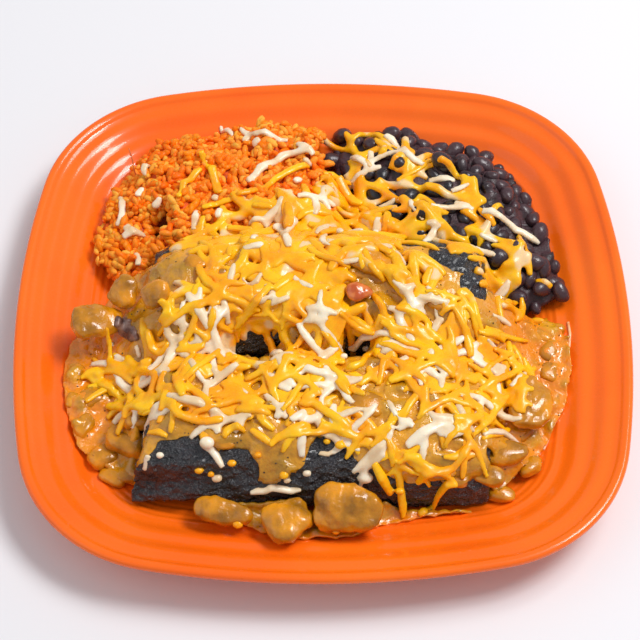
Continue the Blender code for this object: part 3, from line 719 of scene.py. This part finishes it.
sauceShape = dict(
    pitch=1.3, smooth=2, run=5, edgeHigh=9.0, edgeThick=0.35, thick=1.2,
    lumps=sauceLumps, tint=sauceTint,
    cover=2.6, coverEdge=12,  # on the rolls: thickness, and how softly it starts, in pixels
    wander=2.5, steepest=0.12,
)
# Where the tortillas show bare: outlines in pixels
barePixels = [pairs(outline) for outline in (
    [
        112, 540, 124, 492, 146, 470, 163, 446, 195, 440, 214, 458, 250, 450, 268, 457, 288, 449, 302, 440, 328, 442,
        345, 452, 352, 468, 372, 477, 407, 492, 435, 486, 488, 488, 490, 530, 345, 530, 200, 540,
    ],
    [232, 334, 270, 336, 272, 360, 238, 364],
    [275, 341, 287, 341, 287, 356, 277, 357],
    [292, 331, 306, 331, 307, 349, 293, 350],
    [342, 352, 352, 343, 373, 344, 375, 367, 345, 370],
    [146, 283, 169, 281, 171, 297, 149, 298],
    [432, 250, 468, 254, 484, 282, 480, 310, 462, 298, 446, 272],
)]


def bareGap(pixel):
    return max(polygonGap(*pixel, outline) for outline in barePixels)


def sauceOverRoll(x, y, height):
    # Height of the sauce, which also covers the rolls outside the bare places
    roll, normal = topOf(rollTree, x, y)
    if roll is None:
        return height
    gap = bareGap(pixelOf(x, y, roll)) + sauceShape["wander"] * wave(x, y, 7, 7)
    if gap > 0 or normal.z < sauceShape["steepest"]:
        return height if height is not None and height > roll else None
    return max(roll + sauceShape["cover"] * ease(0, sauceShape["coverEdge"], -gap), height or 0)


underSauce = treeOf([plate.data, *(roll.data for roll in rolls)])
sauceMesh = laidSheet("chile_sauce", sauceShape, sauceOverRoll, underSauce)
sauce = newPiece("chileSauce", sauceMesh, "chileSauce")
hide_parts("chile_sauce")
done("sauce", sauce)


# Pieces of chile and tomato

chileShape = dict(
    voxel=0.8, rounds=2, lumps=1.3, lump=7, wrinkles=0.5, wrinkle=(2.2, 5, 2.2), swell=0.2,
)


def makeChunk(node, look):
    shape = chileShape
    mesh = remeshed(mergedCopy(node), shape["voxel"], shape["rounds"])
    a, b, c = shape["wrinkle"]

    def wrinkled(x, y, z):
        lumps = noise.noise(Vector((x, y, z)) / shape["lump"]) * shape["lumps"]
        return lumps + noise.noise(Vector((x / a, y / b, z / c))) * shape["wrinkles"] + shape["swell"]

    roughen(mesh, wrinkled)
    first, *others = node.split("_")
    chunk = newPiece(first + "".join(word.title() for word in others), mesh, look)
    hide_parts(node)
    return chunk


chileNodes = sorted(name for name in nodes if name.startswith("chile_") and name != "chile_sauce")
chunks = [makeChunk(name, "greenChile") for name in chileNodes]
chunks.append(makeChunk("tomato_piece", "ripeTomato"))
done("chile pieces", *chunks)


# Chopped chile in the sauce

choppedShape = dict(square=0.75, uneven=((0.22, 1.1), (0.06, 3.5)), sink=0.9)


def makeChopped():
    shape = choppedShape
    (coarse, coarseSize), (fine, fineSize) = shape["uneven"]
    bm = bmesh.new()
    for k, (place, (_, _, long, wide, high, turn)) in enumerate(zip(lumpPlaces, choppedChile)):
        made = bmesh.ops.create_icosphere(bm, subdivisions=3, radius=1.0)["verts"]
        turned = Matrix.Rotation(math.radians(turn), 3, "Z")
        for vert in made:
            # Rounded blocks rather than balls
            point = Vector([math.copysign(abs(c) ** shape["square"], c) for c in vert.co])
            uneven = 1 + coarse * noise.noise(point * coarseSize + Vector((k * 3.1, 0, 0)))
            point *= uneven + fine * noise.noise(point * fineSize)
            point = turned @ Vector((point.x * long, point.y * wide, point.z * high))
            vert.co = (place + point - Vector((0, 0, shape["sink"]))) * mm
    return newPiece("choppedChile", meshOf(bm), "greenChile")


chopped = makeChopped()

# Strands laid where the camera sees these pixels: the soggy, purple brown end of the back roll's
# tortilla, and the pale edge of the sauce's film
softShape = dict(
    ways=[
        [119, 317, 117, 325, 122, 333, 132, 339, 139, 337], [124, 318, 122, 326, 127, 332, 137, 334],
        [129, 319, 128, 327, 134, 330],
    ],
    radius=1.9, lift=0.2, voxel=0.8, rounds=3,
)
filmShape = dict(
    ways=[
        [568, 322, 570, 334, 569, 348], [559, 384, 556, 396, 555, 406], [552, 426, 548, 440, 543, 450],
    ],
    radius=0.75, lift=0.0, voxel=0.4, rounds=1,
)


def seenWays(tree, shape):
    lift = Vector((0, 0, shape["lift"]))
    paths = [[(underPixel(tree, *pixel) + lift, shape["radius"]) for pixel in pairs(way)] for way in shape["ways"]]
    return remeshed(tubes(paths), shape["voxel"], shape["rounds"])


underSoft = treeOf([sauce.data, chopped.data, *(chunk.data for chunk in chunks)])
newPiece("softEdge", seenWays(underSoft, softShape), "softTortilla")
newPiece("filmEdge", seenWays(plateTree, filmShape), "paleFilm")
done("chopped chile", chopped)


# Ground pepper on the sauce and the chile

pepperShape = dict(count=420, half=(0.22, 0.5), lift=0.1, offRim=26)
upward = 0.15  # normals of the upper side have at least this z


def spotsOn(mesh, count, rng, keep):
    # Random places on the upper side of a mesh, spread by area
    mesh.calc_loop_triangles()
    triangles = [t for t in mesh.loop_triangles if t.normal.z > upward]
    spots = []
    for triangle in rng.choices(triangles, [t.area for t in triangles], k=count):
        corners = [mesh.vertices[k].co for k in triangle.vertices]
        a, b = rng.random(), rng.random()
        if a + b > 1:
            a, b = 1 - a, 1 - b
        point = corners[0] + (corners[1] - corners[0]) * a + (corners[2] - corners[0]) * b
        if keep(point.x / mm, point.y / mm):
            spots.append((point, triangle.normal.copy()))
    return spots


def lying(point, normal, spin, tilt, lift, size=1.0):
    # Places a shape on a surface, turned and tilted, lifted in millimetres
    flat = normal.to_track_quat("Z", "Y").to_matrix().to_4x4()
    turned = Matrix.Rotation(spin, 4, "Z") @ Matrix.Rotation(tilt, 4, "Y")
    return Matrix.Translation(point + normal * lift * mm) @ flat @ turned @ Matrix.Scale(size, 4)


def speckForm():
    bm = bmesh.new()
    bmesh.ops.create_icosphere(bm, subdivisions=1, radius=mm)
    bmesh.ops.scale(bm, vec=(1, 0.7, 0.5), verts=bm.verts)
    return meshOf(bm)


rng = random.Random(8)
spots = spotsOn(sauce.data, pepperShape["count"], rng, lambda x, y: insetAt(x, y) > pepperShape["offRim"])
specks = [
    lying(point, normal, rng.uniform(0, math.tau), 0, pepperShape["lift"], rng.uniform(*pepperShape["half"]))
    for point, normal in spots
]
pepper = newPiece("pepperSpecks", scatter(speckForm(), specks, rng), "blackPepper")
done("pepper", pepper)


# Rice: a bed with loose grains all over it

# The rice bed dips in this oval, and its colour there is darkened with painted shade
riceHollow = (-73, 47, 5, 10, -12)  # the dark hollow near the left edge, as an oval in millimetres


def hollowShare(x, y):
    return patchShare(x, y, [riceHollow], 0.5)


riceShape = dict(
    pitch=1.7, smooth=1, run=3, edgeHigh=12.0, edgeThick=0.6, thick=1.5,
    lumps=lambda x, y, above: 5.0 * wave(x, y, 13, 2) + 3.0 * wave(x, y, 6, 6) - 2.2 - 8 * hollowShare(x, y),
    # Painted shade: the hollow's share mixes the bed's dark tint colour into the hollow
    tint=lambda x, y, z: hollowShare(x, y),
    grainLong=3.4, grainWide=1.65,  # half sizes
    grainBend=0.05, grainSize=(0.72, 1.18),
    grains=2600,
    tilt=0.5, tiltLift=0.8,
    lift=(-0.5, 1.9),
)
threadShape = dict(way=[(-86, 76, 21), (-87.5, 79, 26), (-88.5, 83, 30), (-90, 87, 33)], radius=0.35)


def lyingSphere(segments, rings, half):
    # A ball drawn out to three half sizes, with its poles along x
    bm = bmesh.new()
    onSide = Matrix.Rotation(math.pi / 2, 4, "Y")
    bmesh.ops.create_uvsphere(bm, u_segments=segments, v_segments=rings, radius=1.0, matrix=onSide)
    bmesh.ops.scale(bm, vec=half, verts=bm.verts)
    inOrder(bm)
    return bm


def grainForm():
    bm = lyingSphere(6, 5, (riceShape["grainLong"], riceShape["grainWide"], riceShape["grainWide"]))
    for vert in bm.verts:
        vert.co.z -= riceShape["grainBend"] * vert.co.x**2
        vert.co *= mm
    return meshOf(bm)


riceBed = newPiece("riceBed", laidSheet("rice", riceShape), "riceBed")
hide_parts("rice")
rng = random.Random(31)
ricePlaces = []
for point, normal in spotsOn(riceBed.data, riceShape["grains"], rng, lambda x, y: hollowShare(x, y) < 0.6):
    tilt = rng.gauss(0, riceShape["tilt"])
    lift = rng.uniform(*riceShape["lift"]) + abs(math.sin(tilt)) * riceShape["tiltLift"]
    spin, size = rng.uniform(0, math.tau), rng.uniform(*riceShape["grainSize"])
    ricePlaces.append(lying(point, normal, spin, tilt, lift, size))
threadPath = [(Vector(spot), threadShape["radius"]) for spot in threadShape["way"]]
newPiece("chileThread", tubes([threadPath]), "ripeTomato")
rice = newPiece("riceGrains", scatter(grainForm(), ricePlaces, rng), "redRice")
done("rice", riceBed, rice)


# Beans: whole ones lying close together on a crushed base

beanShape = dict(
    pitch=1.9, smooth=1, run=3, edgeHigh=10.0, edgeThick=0.8, thick=1.5,
    lumps=lambda x, y, above: 1.8 * wave(x, y, 9, 2) + 1.2 * wave(x, y, 3.5, 6) - 1.3,
    tint=lambda x, y, z: 0.0,
    half=(6.0, 4.5, 4.1), bend=0.035, dent=0.7, size=(0.66, 1.16),
    apart=6.6,
    tries=3200,
    tilt=0.6,
    lift=(-3.4, 1.4),
)


def beanForm():
    bm = lyingSphere(12, 9, beanShape["half"])
    for vert in bm.verts:
        vert.co.y += beanShape["bend"] * vert.co.x**2 - 0.3  # the bend to one side
        dent = math.exp(-(vert.co.x / 1.8) ** 2) * ease(-1, -3.5, vert.co.y)
        vert.co.y += beanShape["dent"] * dent
        vert.co *= mm
    return meshOf(bm)


def dryShare(x, y):
    # The beans nearer the middle look dry and brown
    return ease(66, 42, insetAt(x, y) + 8 * wave(x, y, 12, 4)) * (0.75 + 0.25 * wave(x, y, 5, 2))


beanBed = newPiece("beanPaste", laidSheet("black_beans", beanShape), "beanPaste")
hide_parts("black_beans")
rng = random.Random(17)
beanPlaces, taken = [], []
for point, normal in spotsOn(beanBed.data, beanShape["tries"], rng, lambda x, y: True):
    if all((point - other).length > beanShape["apart"] * mm for other in taken):
        taken.append(point)
        lift = rng.uniform(*beanShape["lift"])
        spin, tilt = rng.uniform(0, math.tau), rng.gauss(0, beanShape["tilt"])
        beanPlaces.append(lying(point, normal, spin, tilt, lift, rng.uniform(*beanShape["size"])))
beanMesh = scatter(beanForm(), beanPlaces, rng)
paint(beanMesh, "tint", [dryShare(vert.co.x / mm, vert.co.y / mm) for vert in beanMesh.vertices])
beans = newPiece("wholeBeans", beanMesh, "blackBean")
done("beans", beanBed, beans)


# Cheese: strands laid over the food, then grown together and smoothed as they melt

cheeseShape = dict(
    stepLong=4.0,
    flat=0.55,  # each shred is two strands side by side, this share of their radius from its middle
    meltVoxel=0.95, meltRounds=4, meltMarble=(7.5, 0.22),
    netVoxel=0.9, netRounds=8, netMarble=(9, 0.17),
    shredVoxel=0.79, shredRounds=3,
    uneven=(0.88, 1.12), tip=0.7,  # shares of a strand's radius
    turn=0.12, sag=0.3,
    bridges=0.12,  # chance that a strand crosses a bare place
    offRim=30, bareEdge=3, darkShare=0.8,
    tries=60,  # for each strand
    top=cadBox[1].z / mm + 0.6,  # no strand's upper side is higher
)
placedShape = dict(uneven=(0.85, 1.15), tip=0.75, wander=0.4)


def strand(rng, tree, x, y, heading, length, radius, lift, bend):
    # A path over the food, sinking and rising with it
    shape = cheeseShape
    steps = max(3, round(length / shape["stepLong"]))
    drift = rng.uniform(-bend, bend)
    path = []
    for k in range(steps + 1):
        z, _ = topOf(tree, x, y, plateShape["wellZ"])
        z = min(z + lift, shape["top"] - radius)
        tip = shape["tip"] if k in (0, steps) else 1
        path.append((Vector((x, y, z)), radius * rng.uniform(*shape["uneven"]) * tip))
        x += math.cos(heading) * length / steps
        y += math.sin(heading) * length / steps
        heading += drift + rng.gauss(0, shape["turn"])
    for _ in range(2):
        heights = [point.z for point, _ in path]
        for k in range(1, len(path) - 1):
            path[k][0].z = max(heights[k] - shape["sag"], (heights[k - 1] + heights[k] + heights[k + 1]) / 3)
    return path


def strandsIn(rng, tree, share, count, length, radius, lift, bend):
    # Strands whose middles lie where share allows them, by pixel
    shape = cheeseShape
    paths = []
    tries = 0
    while len(paths) < count and tries < count * shape["tries"]:
        tries += 1
        x, y = rng.uniform(*cheeseBox[0]), rng.uniform(*cheeseBox[1])
        z, _ = topOf(tree, x, y, plateShape["wellZ"])
        if rng.random() > share(*pixelOf(x, y, z)):
            continue
        long = rng.uniform(*length)
        heading = rng.uniform(0, math.tau)
        startX, startY = x - math.cos(heading) * long / 2, y - math.sin(heading) * long / 2
        path = strand(rng, tree, startX, startY, heading, long, rng.uniform(*radius), lift, bend)
        onRim = min(insetAt(point.x, point.y) for point, _ in path) < shape["offRim"]
        seen = [pixelOf(*point) for point, _ in path]
        crossing = sum(bareGap(spot) > shape["bareEdge"] for spot in seen)
        crossing += sum(insideShare(*spot, patch) < shape["darkShare"] for spot in seen for patch in darkPatches)
        if not onRim and (crossing == 0 or rng.random() < shape["bridges"] / crossing):
            paths.append(path)
    return paths


# Where each kind of cheese lies, in pixels. Ovals: middle, half sizes, turn
meltPatches = [(315, 285, 112, 52, 0), (300, 240, 95, 24, 0), (350, 330, 60, 30, 0), (292, 218, 62, 22, -10)]
netPatches = [(395, 178, 62, 38, 30), (458, 228, 62, 38, 35), (506, 285, 42, 46, 0), (352, 205, 40, 34, 0)]
darkPatches = [
    (352, 140, 22, 12, 0), (395, 172, 9, 7, 0), (372, 195, 9, 8, 0), (430, 195, 8, 7, 0), (458, 272, 12, 24, -30),
    (470, 240, 9, 7, 0), (425, 250, 10, 6, 0), (478, 300, 8, 9, 0), (372, 287, 40, 13, 25), (150, 290, 14, 9, 0),
    (376, 396, 20, 12, 0), (362, 298, 12, 8, 0), (254, 347, 26, 12, 4), (298, 341, 11, 9, 0), (362, 354, 14, 10, 0),
]
frontOutline = pairs([
    78, 380, 92, 364, 138, 352, 165, 318, 185, 290, 215, 280, 300, 300, 420, 285, 470, 300, 522, 350, 532, 380, 508,
    425, 482, 455, 470, 478, 440, 492, 400, 488, 370, 476, 345, 452, 320, 440, 290, 448, 240, 444, 205, 440, 160, 436,
    125, 412, 95, 402,
])
ricePatches = [(215, 165, 90, 32, 0), (150, 215, 50, 40, 0), (270, 205, 60, 30, 0)]
cheeseBox = ((-98, 98), (-92, 104))  # in millimetres


def lightShare(x, y):
    return 1 - patchShare(x, y, darkPatches)


def meltShare(x, y):
    return patchShare(x, y, meltPatches) * lightShare(x, y)


def netShare(x, y):
    return patchShare(x, y, netPatches) * lightShare(x, y)


def frontShare(x, y):
    return ease(-4, 8, polygonGap(x, y, frontOutline)) * lightShare(x, y)


def riceShare(x, y):
    return patchShare(x, y, ricePatches)


# Strands at random: where, how many, length, radius, lift, bend
batches = dict(
    melt=[(meltShare, 180, (14, 34), (1.8, 2.6), 0.6, 0.25)],
    net=[(netShare, 52, (12, 28), (1.7, 2.3), 0.3, 0.25)],
    yellow=[
        (frontShare, 240, (7, 24), (1.05, 1.4), 0.4, 0.15),
        (meltShare, 75, (8, 26), (1.2, 1.7), 0.1, 0.2),
        (netShare, 8, (8, 26), (1.1, 1.4), 0.3, 0.2),
    ],
    white=[
        (frontShare, 100, (6, 20), (1.0, 1.35), 0.3, 0.15),
        (netShare, 15, (8, 22), (1.0, 1.5), 0.0, 0.3),
        (meltShare, 14, (6, 18), (1.0, 1.4), -0.1, 0.3),
        (riceShare, 14, (3, 8), (1.0, 1.5), 1.2, 0.6),
    ],
    upper=[
        (frontShare, 110, (7, 24), (1.0, 1.4), 0.4, 0.15),
        (meltShare, 10, (10, 24), (1.2, 1.6), 0.3, 0.2),
    ],
)


def drawn(kind, tree):
    return [path for batch in batches[kind] for path in strandsIn(rng, tree, *batch)]


def shredsOf(paths):
    # Each path as two side by side, for a shred wider than it is high
    both = []
    for path in paths:
        way = path[-1][0] - path[0][0]
        side = Vector((-way.y, way.x, 0))
        if side.length:
            side.normalize()
        for sign in (-1, 1):
            both.append([(point + side * (sign * radius * cheeseShape["flat"]), radius) for point, radius in path])
    return both


def cheesePiece(name, paths, kind, look, tree=None, bits=()):
    mesh = remeshed(withBits(tubes(paths), tree, bits), cheeseShape[kind + "Voxel"], cheeseShape[kind + "Rounds"])
    return newPiece(name, mesh, look)


def marble(mesh, size, start):
    # White in patches of about that size
    waves = [noise.noise(vert.co / mm / size) for vert in mesh.vertices]
    paint(mesh, "tint", [0.9 * ease(start, start + 0.2, high) for high in waves])


def placedStrands(tree, ways, radius, lift):
    # Strands through pixels of the photograph, laid on the food that the camera sees there
    rng = random.Random(len(ways))
    shape = placedShape
    paths = []
    for way in ways:
        spots = [underPixel(tree, *pixel) for pixel in pairs(way)]
        path = []
        for start, end in zip(spots, spots[1:]):
            flat = math.hypot(end.x - start.x, end.y - start.y)
            steps = max(1, round(flat / cheeseShape["stepLong"]))
            path += [start.lerp(end, k / steps) for k in range(steps)]
        path.append(spots[-1])
        for _ in range(2):  # rounds the corners
            path[1:-1] = [(a + b * 2 + c) / 4 for a, b, c in zip(path, path[1:], path[2:])]
        thick = rng.uniform(*radius)
        laid = []
        for k, point in enumerate(path):
            z, _ = topOf(tree, point.x, point.y, plateShape["wellZ"])
            z = min(z + lift, cheeseShape["top"] - thick)
            point += Vector((rng.gauss(0, shape["wander"]), rng.gauss(0, shape["wander"]), 0))
            tip = shape["tip"] if k in (0, len(path) - 1) else 1
            laid.append((Vector((point.x, point.y, z)), thick * rng.uniform(*shape["uneven"]) * tip))
        paths.append(laid)
    return paths


# Strands that the photograph shows singly, in pixels
netPixels = [
    [352, 140, 365, 135, 382, 134, 388, 147, 379, 161], [345, 132, 352, 150, 372, 168],
    [413, 167, 432, 157, 449, 163, 465, 176, 472, 197], [396, 172, 413, 167, 428, 180],
    [455, 200, 490, 205, 457, 212, 492, 221, 460, 230, 489, 236],
    [466, 257, 524, 264, 470, 270, 526, 278, 475, 286, 510, 290], [526, 252, 528, 276],
    [378, 178, 402, 185, 430, 186, 452, 198], [345, 172, 360, 186, 392, 196, 420, 206, 450, 214],
    [410, 206, 440, 232, 470, 246], [330, 180, 345, 205, 372, 222, 420, 238, 462, 250], [499, 306, 520, 314],
    [455, 299, 463, 284, 472, 306, 484, 339],
]
meltPixels = [
    [537, 282, 553, 288], [296, 253, 302, 275, 299, 300, 303, 318], [310, 250, 308, 275, 312, 300, 318, 320],
    [239, 289, 235, 325, 231, 351, 236, 375], [231, 310, 217, 328, 185, 350],
    [190, 323, 208, 342, 228, 360, 256, 366, 285, 370], [271, 339, 280, 360, 294, 387],
    [282, 325, 297, 357, 310, 373, 322, 396], [228, 300, 246, 322, 262, 334], [335, 310, 352, 318, 366, 305],
    [345, 372, 362, 366, 372, 352, 386, 350],
]
# The first five lie under the white shreds, and all from the fourth on lie over them
yellowPixels = [
    [178, 197, 189, 181, 201, 170], [201, 156, 212, 172, 221, 195],
    [201, 210, 231, 201, 256, 192, 283, 176, 310, 169], [160, 301, 176, 309, 160, 325],
    [146, 332, 158, 357, 169, 344], [80, 380, 97, 369, 105, 385, 119, 394], [119, 409, 146, 417],
    [137, 391, 139, 369, 153, 359], [84, 372, 110, 392, 128, 398], [321, 423, 338, 430, 357, 436],
    [365, 436, 384, 430, 396, 421], [480, 390, 499, 380, 526, 369], [472, 438, 488, 425, 495, 407, 493, 392],
    [373, 467, 382, 482, 390, 495], [417, 484, 442, 474, 463, 463, 469, 447],
    [398, 465, 409, 453, 426, 459, 415, 476], [417, 516, 438, 507, 455, 495], [319, 426, 340, 433, 356, 438],
    [270, 447, 284, 434, 311, 426], [148, 432, 168, 437], [222, 440, 230, 426, 246, 432],
    [165, 405, 180, 418, 205, 424, 226, 420], [128, 402, 150, 396, 176, 404], [430, 330, 447, 345, 452, 366],
    [455, 310, 468, 335, 472, 358],
]
whitePixels = [
    [249, 186, 256, 174, 271, 163, 287, 154, 306, 156], [240, 131, 249, 140, 287, 142], [221, 126, 233, 136],
    [197, 210, 192, 231], [121, 197, 124, 211, 117, 227], [123, 238, 144, 236], [137, 252, 139, 265],
    [297, 197, 317, 197, 328, 204], [276, 211, 264, 227], [297, 144, 314, 156],
    [384, 136, 396, 146, 407, 155, 423, 167], [451, 193, 469, 184], [480, 213, 499, 222, 516, 230, 538, 245],
    [482, 209, 497, 216], [492, 316, 511, 326], [350, 158, 366, 166], [425, 222, 442, 228],
    [348, 352, 363, 338, 379, 333, 396, 333], [396, 317, 407, 334, 419, 346], [441, 318, 433, 333],
    [302, 367, 323, 375, 346, 377, 363, 380], [407, 447, 423, 432, 442, 423, 457, 425],
    [352, 474, 365, 461, 386, 442], [248, 493, 264, 487, 284, 489, 301, 491], [301, 432, 303, 457],
    [187, 294, 201, 312, 210, 328], [214, 300, 210, 316], [224, 310, 212, 326], [176, 316, 174, 326],
    [165, 332, 192, 339, 176, 355], [114, 357, 124, 360], [137, 346, 140, 359], [110, 367, 121, 382, 135, 391],
    [167, 396, 196, 403, 226, 417], [149, 417, 164, 401], [233, 385, 247, 396], [149, 385, 164, 367],
    [243, 278, 251, 286, 261, 276], [270, 306, 289, 298], [280, 228, 289, 247], [148, 455, 145, 471],
    [203, 447, 218, 452, 223, 466], [329, 455, 320, 454], [446, 438, 466, 432], [483, 402, 476, 420],
    [268, 284, 278, 290, 272, 298],
]
# Round bits of cheese: pixel, and radius in millimetres
yellowBits = [
    ((199, 471), 2.3), ((211, 475), 1.9), ((232, 464), 2.2), ((327, 442), 2.0), ((340, 446), 2.5),
    ((400, 492), 2.3), ((284, 476), 2.4), ((238, 525), 2.6), ((336, 532), 2.0), ((258, 456), 2.0),
]
whiteBits = [
    ((217, 479), 2.6), ((287, 481), 2.0), ((307, 474), 2.2), ((366, 479), 3.2), ((207, 444), 3.4),
    ((260, 300), 3.2), ((344, 357), 2.0), ((366, 349), 2.2), ((160, 456), 2.0), ((112, 345), 1.6),
]
bitShape = dict(lift=0.3, wide=0.85, high=0.7)  # shares of the radius


def withBits(mesh, tree, bits):
    # Adds a flattened ball at each pixel
    bm = bmesh.new()
    bm.from_mesh(mesh)
    for pixel, radius in bits:
        place = underPixel(tree, *pixel) + Vector((0, 0, radius * bitShape["lift"]))
        half = (radius * mm, radius * mm * bitShape["wide"], radius * mm * bitShape["high"], 1)
        ball = Matrix.Translation(place * mm) @ Matrix.Diagonal(half)
        bmesh.ops.create_icosphere(bm, subdivisions=3, radius=1.0, matrix=ball)
    bm.to_mesh(mesh)
    bm.free()
    return mesh


def bedOf(*extra):
    # What the next strands lie on
    food = [*rolls, sauce, chopped, riceBed, rice, beanBed, beans, *chunks]
    return treeOf([piece.data for piece in [plate, *food, *extra]])


bed = bedOf()
rng = random.Random(5)
meltPaths = placedStrands(bed, meltPixels, (2.0, 2.6), 0.5) + drawn("melt", bed)
# The thick drip between the rolls
drip = dict(start=Vector((1, -17, 46)), end=Vector((1, -27, 31)), thin=6.0, thick=8.5, steps=6)
dripPath = []
for k in range(drip["steps"] + 1):
    t = k / drip["steps"]
    dripPath.append((drip["start"].lerp(drip["end"], t), between(drip["thin"], drip["thick"], math.sin(t * 2.4))))
meltPaths.append(dripPath)
melt = cheesePiece("meltedCheese", meltPaths, "melt", "yellowCheese")
marble(melt.data, *cheeseShape["meltMarble"])
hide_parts("melted_cheese")
netPaths = placedStrands(bed, netPixels, (1.9, 2.5), 0.4) + drawn("net", bed)
net = cheesePiece("meltedNet", netPaths, "net", "yellowCheese")
marble(net.data, *cheeseShape["netMarble"])
done("melted cheese", melt, net)

bed = bedOf(melt, net)
yellowPaths = drawn("yellow", bed) + placedStrands(bed, yellowPixels[:5], (1.1, 1.4), 1.6)
yellow = cheesePiece("yellowShreds", shredsOf(yellowPaths), "shred", "yellowCheese")
done("yellow shreds", yellow)

bed = bedOf(melt, net, yellow)
whitePaths = drawn("white", bed) + placedStrands(bed, whitePixels, (1.1, 1.5), 0.6)
white = cheesePiece("whiteShreds", shredsOf(whitePaths), "shred", "whiteCheese", bed, whiteBits)
done("white shreds", white)

bed = bedOf(melt, net, yellow, white)
upperPaths = drawn("upper", bed) + placedStrands(bed, yellowPixels[3:], (1.15, 1.5), 0.6)
upper = cheesePiece("upperShreds", shredsOf(upperPaths), "shred", "yellowCheese", bed, yellowBits)
done("upper shreds", upper)


# Floor and lights

studio = dict(
    floorHalf=3, floorColour=(0.82, 0.81, 0.83, 1), floorRough=0.7, floorZ=-0.0002,
    skyColour=(0.95, 0.96, 1.0, 1), sky=0.46,
)
floorMaterial = bpy.data.materials.new("paleFloor")
floorMaterial.use_nodes = True
floorLook = {"Base Color": studio["floorColour"], "Roughness": studio["floorRough"]}
setValues(floorMaterial.node_tree.nodes["Principled BSDF"], floorLook)
bm = bmesh.new()
bmesh.ops.create_grid(bm, x_segments=1, y_segments=1, size=studio["floorHalf"])
floorObject = placed("paleTable", meshOf(bm, "paleTable"))
floorObject.data.materials.append(floorMaterial)
floorObject.location.z = studio["floorZ"]

lights = dict(
    keyLight=dict(place=(0.76, 0.52, 1.6), size=0.6, watts=11),
    sideLight=dict(place=(0.93, 0.13, 1.54), size=0.48, watts=14),
    leftFill=dict(place=(-1.2, -0.2, 1.1), size=1.4, watts=3),
)
for name, facts in lights.items():
    light = bpy.data.lights.new(name, "AREA")
    light.shape = "SQUARE"
    light.size = facts["size"]
    light.energy = facts["watts"]
    lamp = placed(name, light)
    lamp.location = facts["place"]
    lamp.rotation_euler = (-Vector(facts["place"])).to_track_quat("-Z", "Y").to_euler()

world = bpy.data.worlds.new("studio")
world.use_nodes = True
setValues(world.node_tree.nodes["Background"], {"Color": studio["skyColour"], "Strength": studio["sky"]})
bpy.context.scene.world = world

bpy.context.scene.view_settings.view_transform = "Standard"
